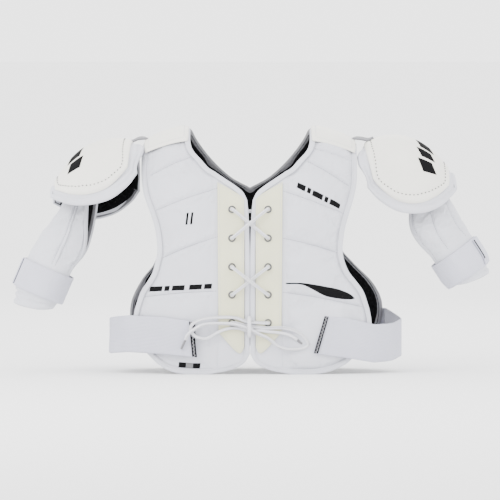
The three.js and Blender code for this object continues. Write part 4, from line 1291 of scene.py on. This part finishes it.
STITCH_INSET = 12.5
CAP_CENTRE = np.array([75, 0, -60.0])
CAP_MARKS = {
    "left": [(0.50, 0.62, -58, -44), (0.50, 0.62, -40, -28), (0.50, 0.62, -24, -8)],
    "right": [(0.50, 0.62, -58, -44), (0.50, 0.62, -40, -22)],
}
cap_skins = {}
for name, side in SIDES.items():
    body = f"cap_{name}"
    s = np.linspace(0, 1, 70)[:, None] + np.zeros((1, 110))
    turn = np.linspace(-1, 1, 110)[None, :]
    turn = np.sign(turn) * (90 * np.abs(turn) ** 0.8) + 0 * s
    dome = cap_dome(s, turn)
    corner = smooth((-turn - 10) / 32) * (1 - 0.75 * smooth((-turn - 52) / 34))
    dome[..., 0] += 4 * smooth((s - 0.8) / 0.2) - 11 * smooth((0.3 - s) / 0.3) * corner
    normal = outward(dome, CAP_CENTRE)
    thin = 1 - 0.4 * s**3
    front, rear, neck, tip = from_edges(dome)
    edge = np.minimum.reduce([front, rear, neck * 1.3, tip * 1.1])
    # Soft base: a rounded bead along the rim, a crease, then a swelling that runs under the shell.
    profile = (6.6 - 4.6 * np.sqrt(np.clip(1 - ((edge - 4.2) / 5.0) ** 2, 0, 1)) * (edge < 9.2)
               - 3.0 * np.exp(-((edge - 16) / 5.5) ** 2))
    profile = np.where(edge < 9.2, profile, np.minimum(profile, 6.6))
    profile = profile - 2.2 * smooth((edge - 22) / 6)
    ripple = 0.25 * np.sin(turn * 0.55 + 9 * s) * np.exp(-((edge - 16) / 8) ** 2)
    top = dome - normal * ((profile + ripple) * thin)[..., None]
    low_depth = 12.4 - 3.2 * np.exp(-(edge / 5) ** 2)
    low = dome - normal * (low_depth * thin)[..., None]
    pad = cushion(f"cap_base_{name}", cap_place(name, top), cap_place(name, low), 1.2)
    dress(pad, "quilt", "quilted_white", body, f"cap_pad_{name}")

    # Lining, and the grey tape that holds it round the rim.
    inside = dome - normal * ((low_depth + 0.4) * thin)[..., None]
    face = dome - normal * ((low_depth + 1.9 + 0.3 * np.sin(turn / 9)) * thin)[..., None]
    inner = (slice(1, 62, 2), slice(1, -1, 2))
    dress(cushion(f"cap_mesh_{name}", cap_place(name, inside[inner]), cap_place(name, face[inner]), 0.3, 1),
          "lining", "lining_black", body, f"cap_lining_{name}")
    rim = rim_of(dome - normal * (low_depth * thin)[..., None])
    facing = rim_of(-normal)
    rim = even(np.vstack([rim, rim[:1]]), 301)[:-1]
    facing = unit(even(np.vstack([facing, facing[:1]]), 301)[:-1])
    tape = [[0.6, 0.1], [0.9, 0.8], [3, 1.3], [6.5, 1.6], [7.6, 1.1], [7.4, 0.2], [3, -0.1]]
    middle = dome.mean(axis=(0, 1))
    tangent = unit(np.roll(rim, -1, axis=0) - np.roll(rim, 1, axis=0))
    across = np.cross(tangent, facing)
    toward = np.sign(np.mean(((middle - rim) * across).sum(-1)))
    section = np.array(tape) * [toward * side, 1]
    placed = cap_place(name, rim)
    up = cap_place(name, rim + facing) - placed
    dress(sweep(f"cap_tape_{name}", placed, up, section, closed=True), "grey_binding",
          "webbing_grey", body)

    # Moulded shell with a rolled edge and a line of pierced stitching inside it.
    b, a = np.meshgrid(np.linspace(-1, 1, 84), np.linspace(-1, 1, 120), indexing="ij")
    rounding = 0.30
    a2 = a * np.sqrt(1 - rounding * b**2)
    b2 = b * np.sqrt(1 - rounding * a**2)
    ss = SHELL_MIDDLE[name] + 0.40 * b2 / math.sqrt(1 - rounding * 0.4)
    reach_turn = 83.5 - 7 * ss
    shell = cap_dome(np.clip(ss, 0.03, 0.97),
                     np.sign(a2) * np.abs(a2) ** 0.8 * reach_turn / (1 - rounding) ** 0.15)
    shell_normal = outward(shell, CAP_CENTRE)
    shell_thin = 1 - 0.4 * ss**3
    lip = np.minimum.reduce(from_edges(shell))
    rolled = np.where(lip < 3.2, 3.2 - np.sqrt(np.clip(3.2**2 - (3.2 - lip) ** 2, 0, None)), 0)
    groove = 0.9 * np.exp(-((lip - STITCH_INSET) / 1.5) ** 2)
    swell = 0.7 * np.exp(-((lip - 7) / 3.5) ** 2)
    lift = 0.6 - rolled - groove + swell
    outer = shell + shell_normal * (lift * shell_thin)[..., None]
    under = shell - shell_normal * ((3.6 - 0.2 * rolled) * shell_thin)[..., None]
    cap = cushion(f"cap_leather_{name}", cap_place(name, outer), cap_place(name, under), 0.5)
    dress(cap, "cap", "cap_cream", body, f"cap_shell_{name}")
    shell_skin = cap_skins[name] = Skin(cap_place(name, outer))
    line = inset_line(lip, STITCH_INSET)
    spots = cap_place(name, sample(outer, line))
    away = unit(cap_place(name, sample(outer + shell_normal, line)) - spots)
    spots, away = np.vstack([spots, spots[:1]]), np.vstack([away, away[:1]])
    spots, away = shell_skin.under(spots, away, 0.05)
    dress(stitches(f"cap_stitches_{name}", spots, away, 6.0, 2.3, 0.85), "dark_thread", "cap_cream",
          body)

    # Webbing from under the yoke's end to the top of the shell.
    crest = cap_dome(np.array([[0.12], [0.18]]), np.array([[-1.0, 0, 1.0]]))
    rise = outward(crest, CAP_CENTRE)[:, 1] * np.array([[1.8], [1.5]])
    land = cap_place(name, crest[:, 1] + rise)
    route = [[side * 153, 0, 350.4], [side * 160, 0, 351.8], [side * 168, 0, 351.4], *land]
    path = curve(route, 46)
    lean = smooth(np.linspace(0, 1, 46) / 0.3) * smooth(np.linspace(1, 0, 46) / 0.3)
    ups = unit(np.stack([0 * lean, -0.14 * lean, 1 + 0 * lean], axis=1))
    width = 11.5
    strip = [[-width, -1.0], [-width, 1.0], [-width * 0.9, 1.4], [-width * 0.5, 1.2], [0, 1.2],
             [width * 0.5, 1.2], [width * 0.9, 1.4], [width, 1.0], [width, -1.0], [0, -1.2]]
    strap = sweep(f"cap_webbing_{name}", path, ups, strip)
    strap.data.materials.append(MATERIALS["webbing"])
    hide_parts(f"cap_strap_{name}")
    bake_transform(strap)

# ---- Arm pads ----


def arm_frame(name):
    axis = catmull(ARM_AXIS[name], 40)
    s = lengths(axis)
    slope = unit(np.gradient(axis, axis=0))

    def at(run, turn, lift=0.0):
        run, turn, lift = np.broadcast_arrays(np.asarray(run, float), turn, lift)
        inside = np.clip(run, 0, s[-1])
        centre = np.stack([np.interp(inside, s, axis[:, k]) for k in range(3)], axis=-1)
        tangent = unit(np.stack([np.interp(inside, s, slope[:, k]) for k in range(3)], axis=-1))
        centre = centre + tangent * (run - inside)[..., None]
        out = unit(np.stack([-tangent[..., 2], 0 * run, tangent[..., 0]], axis=-1))
        tip = 1 - 0.16 * smooth((run - ARM_LENGTH[name] + 30) / 30)
        radius = (ARM_RADIUS - (ARM_RADIUS - ARM_TOP) * (1 - smooth(run / 95))) * tip
        sine, cosine = np.sin(np.radians(turn)), np.cos(np.radians(turn))
        inner = 1 - (1 - ARM_INNER) * smooth((run - 70) / 55) * smooth(-cosine / 0.2)
        deeper = -2 + (ARM_DEPTH + 2) * smooth((run - 30) / 80)
        point = centre + out * ((radius * inner + lift) * cosine)[..., None]
        point[..., 1] -= (radius + deeper + lift) * sine
        rear_wing = smooth((-turn - 95) / 55) * (1 - smooth((run - 10) / 75))
        point[..., 0] -= WING_FLARE[name] * rear_wing
        return point * [SIDES[name], 1, 1]

    return at


def end_of(name, turn):
    return ARM_LENGTH[name] - 16 * (turn / ARM_WRAP) ** 2


def band_run(name, turn):
    """Where the band's upper edge lies along the arm."""
    return BAND_START[name] - BAND_SLANT[name] * np.cos(np.radians(turn))


def twisted(name, run, turn):
    """The turn at which a point of the pad lies: its front edge is drawn back towards the top."""
    return turn + ARM_TWIST[name] * (1 - smooth((run - 5) / 105)) * (np.maximum(turn, 0) / ARM_WRAP) ** 2


for name, side in SIDES.items():
    body = f"arm_{name}"
    at = arm_frame(name)
    turn = np.linspace(-ARM_WRAP, ARM_WRAP, 101)[None, :]
    share = np.linspace(0, 1, 75)[:, None]
    run = share * end_of(name, turn)
    turn = turn + 0 * run
    to_side = np.minimum(turn + ARM_WRAP, ARM_WRAP - turn) * DEGREE
    to_end = end_of(name, turn) - run
    edge = np.minimum.reduce([to_side, to_end, run + 4])
    low_seam, high_seam = sorted(ARM_SEAMS[name])
    channel = np.minimum(np.abs(np.abs(turn) - low_seam), np.abs(np.abs(turn) - high_seam)) * DEGREE
    fade = smooth((BAND_START[name] + 2 - run) / 25)
    border = np.minimum(np.abs(edge - 9), np.abs(to_end - 18))
    under_band = (smooth((run - BAND_START[name] + 26) / 24)
                  * smooth((BAND_START[name] + BAND_WIDTH + 6 - run) / 6))
    rise = np.minimum(1 - fade * np.exp(-(channel / 3.6) ** 1.2), 1 - np.exp(-(border / 3.2) ** 1.2))
    ridge = high_seam - low_seam < 20
    between = np.exp(-(((np.abs(turn) - 88) * DEGREE / 2.4) ** 4)) * fade * ridge
    lift = -2.4 + 2.4 * rise + 2.6 * between - 1.2 * np.exp(-(edge / 2.5) ** 2)
    lift = lift * (1 - under_band) - 0.4 * under_band
    held = ((channel < 1.4) & (fade > 0.5)) | (border < 1.2) | (edge < 2.5) | (under_band > 0.6)
    room = 3.2 * smooth(np.minimum(channel + 20 * (1 - fade), border) / 5) * (1 - under_band)
    blown = inflate(at(run, twisted(name, run, turn), lift), held, room, slack=0.03)
    outer = refine(blown)
    run, turn, to_side, to_end = (refine(v) for v in (run, turn, to_side, to_end))
    channel, border, fade, under_band = (refine(v) for v in (channel, border, fade, under_band))
    up = unit(at(run, twisted(name, run, turn), 1) - at(run, twisted(name, run, turn)))
    crease = -0.9 * np.maximum(fade * np.exp(-(channel / 1.1) ** 2), np.exp(-(border / 1.1) ** 2))
    folds = ARM_FOLDS[name] * np.sin(run / 6.5 + 0.05 * turn + side) * np.sin(run / 17 + turn / 31)
    outer = outer + up * ((crease + folds) * (1 - under_band) * smooth(to_side / 9))[..., None]
    wall = ARM_WALL * (1 - 0.3 * np.exp(-(to_side / 8) ** 2)) - 1.0 * np.exp(-(to_end / 6) ** 2)
    inner = at(run, twisted(name, run, turn), -wall)
    pad = cushion(f"arm_quilt_{name}", outer, inner, 1.0)
    dress(pad, "quilt", "quilted_white", body, f"arm_pad_{name}")
    arm_skin = Skin(outer)
    coarse = (slice(2, -2, 4), slice(2, -2, 6))
    dress(cushion(f"arm_mesh_{name}", at(run, twisted(name, run, turn), -wall - 0.5)[coarse],
                  at(run, twisted(name, run, turn), -wall - 2.0)[coarse],
                  0.3, 1), "lining", "lining_black", body, f"arm_lining_{name}")

    # Binding round the pad, dark on the side of the lining.
    down = np.stack([share[:, 0] * end_of(name, ARM_WRAP), 0 * share[:, 0] - ARM_WRAP], axis=1)
    across = np.stack([end_of(name, turn[0]), turn[0]], axis=1)
    line = np.vstack([down, across[1:], (down * [1, -1])[::-1][1:]])
    rim = at(line[:, 0], twisted(name, line[:, 0], line[:, 1]))
    rim_up = unit(at(line[:, 0], twisted(name, line[:, 0], line[:, 1]), 1.0) - rim)
    rim = even(np.hstack([rim, rim_up]), 420)
    rim, rim_up = rim[:, :3], unit(rim[:, 3:])
    white_tape = tape_section(7.0, -0.6, -5.4, 1.0) * [side, 1]
    dress(sweep(f"arm_binding_{name}", rim, rim_up, white_tape), "binding", "quilted_white", body)
    grey_tape = np.array([[-0.9, -4.6], [-1.1, -6.8], [0.2, -8.8], [4, -9.5], [7.2, -9.8], [7.4, -9.0],
                          [4, -8.5], [0.6, -7.6], [-0.1, -6.2], [-0.1, -4.8]])
    grey_tape = grey_tape * [side, 1]
    dress(sweep(f"arm_tape_{name}", rim, rim_up, grey_tape), "grey_binding", "webbing_grey", body)

    # Thread along the channels and the border.
    rows = []
    threads = [(angle, 14, 8) for angle in (low_seam, high_seam, -low_seam, -high_seam)]
    threads += [(sign * (ARM_WRAP - 9 / DEGREE), 10, 4) for sign in (-1, 1)]
    for k, (angle, first, short) in enumerate(threads):
        along = np.linspace(first, BAND_START[name] - short, 60)
        spots = at(along, twisted(name, along, angle))
        ups = unit(at(along, twisted(name, along, angle), 1.0) - spots)
        spots, ups = arm_skin.under(spots, ups, 0.1, 12)
        rows.append(stitches(f"arm_thread_{name}_{k}", spots, ups, 3.2, 2.3, 0.32))
    dress(join(f"arm_stitches_{name}", rows), "seam_thread", "quilted_white", body)

    # Elastic band right round the pad.
    around = np.linspace(0, 360, 120, endpoint=False)[None, :]
    wide = np.linspace(0, 1, 17)[:, None]
    run_b = band_run(name, around) + BAND_WIDTH * wide
    turn_b = around + 0 * run_b
    lip = np.minimum(wide, 1 - wide) * BAND_WIDTH + 0 * run_b
    wave = 0.22 * np.sin(np.radians(around) * 9 + 3 * wide) + 0.15 * np.sin(np.radians(around) * 23)
    thick = 2.0 - 0.35 * np.exp(-(lip / 1.0) ** 2) + 0.2 * np.exp(-((lip - 2.4) / 1.0) ** 2)
    low_b = at(run_b, turn_b, 1.3 + 0.2 * wave)
    top_b = at(run_b, turn_b, 1.3 + 0.2 * wave + thick)
    points = np.concatenate([top_b.reshape(-1, 3), low_b.reshape(-1, 3)])
    count = 120 * 17
    faces = np.concatenate([quads(17, 120, wrap=True), quads(17, 120, count, wrap=True)[:, ::-1]]).tolist()
    for row in (0, 16):
        for i in range(120):
            p, q = row * 120 + i, row * 120 + (i + 1) % 120
            faces.append([p, q, q + count, p + count])
    uv = np.stack([np.radians(turn_b) * 44, run_b], axis=-1).reshape(-1, 2)
    band = make(f"arm_elastic_{name}", points, faces, np.concatenate([uv, uv]))
    fix_normals(band)
    dress(band, "band", "elastic_white", body, f"arm_band_{name}")

    # The band's free end, with a slim black label along the left one.
    across, down = np.meshgrid(np.linspace(0, 1, 40), np.linspace(0, 1, 24))
    tab_turn = -48 + (TAB_END[name] + 48) * across
    tab_run = band_run(name, tab_turn) + 1.5 + (BAND_WIDTH - 3) * down
    rim_t = np.minimum.reduce([down, 1 - down]) * (BAND_WIDTH - 3)
    low_t = at(tab_run, tab_turn, 4.3)
    top_t = at(tab_run, tab_turn, 6.0 + 0.15 * np.sin(6 * across) - 0.3 * np.exp(-(rim_t / 1.0) ** 2))
    tab = cushion(f"band_end_{name}", top_t, low_t, 0.3, 2)
    dress(tab, "band", "elastic_white", f"band_tab_{name}", f"arm_band_tab_{name}")
    for k, angle in enumerate([TAB_END[name] - 7, -42]):
        along = band_run(name, angle) + np.linspace(3, BAND_WIDTH - 3, 30)
        spots = at(along, angle + 0 * along, 6.15)
        ups = unit(at(along, angle + 0 * along, 7.15) - spots)
        dress(stitches(f"band_stitches_{name}_{k}", spots, ups, 3.0, 2.1, 0.3), "thread",
              "elastic_white", f"band_tab_{name}")
    if name == "left":
        across, down = np.meshgrid(np.linspace(TAB_END[name] - 3.2, TAB_END[name] - 0.6, 4),
                                   np.linspace(2.5, 34, 22))
        label_run = band_run(name, across) + down
        label = cushion("band_label", at(label_run, across, 6.75), at(label_run, across, 6.2), 0.1, 1)
        dress(label, "ink", "hook_black", "band_tab_left")

    # Hanger inside the cap.
    x, y, z = ARM_AXIS[name][0]
    middle = (z + HANGER_TOP[name]) / 2
    path = curve([[side * x, y, z - 9.5], [side * (x + 1.2), y, z], [side * (x + 0.6), y, middle],
                  [side * x, y, HANGER_TOP[name] - 1]], 30)
    strip = [[-5.8, -0.9], [-5.9, 0], [-5.8, 0.9], [-5, 1.1], [0, 0.9], [5, 1.1], [5.8, 0.9], [5.9, 0],
             [5.8, -0.9], [5, -1.1], [0, -0.9], [-5, -1.1]]
    dress(sweep(f"arm_hanger_webbing_{name}", path, np.tile([side * 1.0, 0, 0], (30, 1)), strip),
          "webbing", "webbing_grey", f"hanger_{name}", f"arm_pad_hanger_{name}")

# ---- Plain marks where the object carries printing: bars and darts that spell nothing ----


def mark(name, lower, upper, skin, normals, body, ink="ink", thick=0.3, slot="hook_black"):
    """A thin patch between two edges, dropped on to a surface along `normals`."""
    lower, upper = curve(lower, 60), curve(upper, 60)
    t = np.linspace(0, 1, 14)[:, None, None]
    grid = lower[None] * (1 - t) + upper[None] * t
    flat_grid = grid.reshape(-1, 3)
    facing = normals(flat_grid)
    low, ups = skin.under(flat_grid, facing, 0.15, 60)
    top = low + ups * thick
    shape = grid.shape
    obj = cushion(name, top.reshape(shape), low.reshape(shape), 0.05, 1)
    return dress(obj, ink, slot, body)


def front_mark(name, wearer, lower, upper, ink="ink"):
    def place(points):
        return [chest(x, z, 0.0) for x, z in points]

    def facing(points):
        z = points[:, 2]
        return unit(chest(points[:, 0], z, 1.0) - chest(points[:, 0], z, 0.0))

    return mark(name, place(lower), place(upper), front_skins[wearer], facing, "vest", ink)


def bar(x0, z0, x1, z1, height, lean=0.0):
    """The lower and upper edges of a bar that rises from (x0, z0) to (x1, z1)."""
    a, b = np.array([x0, z0], float), np.array([x1, z1], float)
    rise = np.array([lean, height])
    return [a, (a + b) / 2, b], [a + rise, (a + b) / 2 + rise, b + rise]


front_mark("mark_chest_small_1", "right", *bar(-97, 224, -94, 224.4, 18, 2.0))
front_mark("mark_chest_small_2", "right", *bar(-90, 224.8, -87, 225.2, 18, 2.0))
for k, (x0, x1) in enumerate([(-152, -133), (-129.5, -122), (-118, -99), (-92, -73), (-69.5, -58)]):
    foot = [123 + (x + 152) * 0.055 for x in (x0, x1)]
    front_mark(f"mark_wide_{k + 1}", "right", *bar(x0, foot[0], x1, foot[1], 7.5, 1.2))
for k, (x0, x1) in enumerate([(70, 82), (85, 90), (93, 108), (111, 116), (119, 134)]):
    front_mark(f"mark_slant_{k + 1}", "left",
               *bar(x0, 280 - (x0 - 70) * 0.5, x1, 280 - (x1 - 70) * 0.5, 7, 2.0))
front_mark("mark_dart", "left",
           [(54, 135.2), (78, 134.2), (94, 127), (112, 117.5), (132, 113), (150, 111.5), (157, 112.4)],
           [(54, 137), (78, 136.8), (96, 134.4), (114, 131), (134, 126.5), (150, 119.5), (157, 113.6)])
front_mark("mark_hem_1", "right", *bar(-108, 9.6, -97, 8.6, 8, 1.0))
front_mark("mark_hem_2", "right", *bar(-96.6, 8.6, -87, 8.0, 8, 1.0), ink="grey_ink")
front_mark("mark_hem_3", "right", *bar(-86.6, 8.0, -75.5, 7.8, 8, 1.0))

# Slanted blocks on each cap, clear of the stitching.
for name, side in SIDES.items():
    for k, (s0, s1, t0, t1) in enumerate(CAP_MARKS[name]):
        across, down = np.meshgrid(np.linspace(0, 1, 16), np.linspace(0, 1, 24))
        s = s0 + (s1 - s0) * across + 0.035 * (1 - down)
        turn = t0 + (t1 - t0) * down + 0 * across
        spots = cap_place(name, cap_dome(s, turn))
        ups = unit(cap_place(name, outward(cap_dome(s, turn), CAP_CENTRE) + cap_dome(s, turn)) - spots)
        low, ups = cap_skins[name].under(spots.reshape(-1, 3), ups.reshape(-1, 3), 0.12)
        shape = spots.shape
        high = (low + ups * 0.35).reshape(shape)
        obj = cushion(f"cap_mark_{name}_{k + 1}", high, low.reshape(shape), 0.05, 1)
        dress(obj, "ink", "hook_black", f"cap_{name}")

# ---- Stage ----

floor_mesh = bpy.data.meshes.new("floor")
reach = 60
floor_mesh.from_pydata([(-reach, -reach, -0.001), (reach, -reach, -0.001), (reach, reach, -0.001),
                        (-reach, reach, -0.001)], [], [(0, 1, 2, 3)])
floor = bpy.data.objects.new("floor", floor_mesh)
bpy.context.collection.objects.link(floor)
paint = Nodes("pale_floor", 0.9, 0.1)
paint.shader.inputs["Base Color"].default_value = (0.92, 0.92, 0.92, 1)
floor.data.materials.append(paint.material)

world = bpy.data.worlds.new("studio")
world.use_nodes = True
world.node_tree.nodes["Background"].inputs["Color"].default_value = (1, 1, 1, 1)
world.node_tree.nodes["Background"].inputs["Strength"].default_value = 3.2
bpy.context.scene.world = world


def soft_light(name, position, target, size, energy):
    light = bpy.data.lights.new(name, "AREA")
    light.shape = "RECTANGLE"
    light.size, light.size_y = size
    light.energy = energy
    obj = bpy.data.objects.new(name, light)
    obj.location = position
    obj.rotation_euler = (Vector(target) - Vector(position)).to_track_quat("-Z", "Y").to_euler()
    bpy.context.collection.objects.link(obj)


soft_light("key", (-1.5, -1.5, 1.5), (0, 0, 0.2), (0.9, 0.9), 40)
soft_light("fill", (1.6, -1.4, 1.3), (0, 0, 0.2), (0.9, 0.9), 12)
soft_light("back", (0.3, 1.9, 1.6), (0, 0, 0.2), (1.2, 0.9), 12)
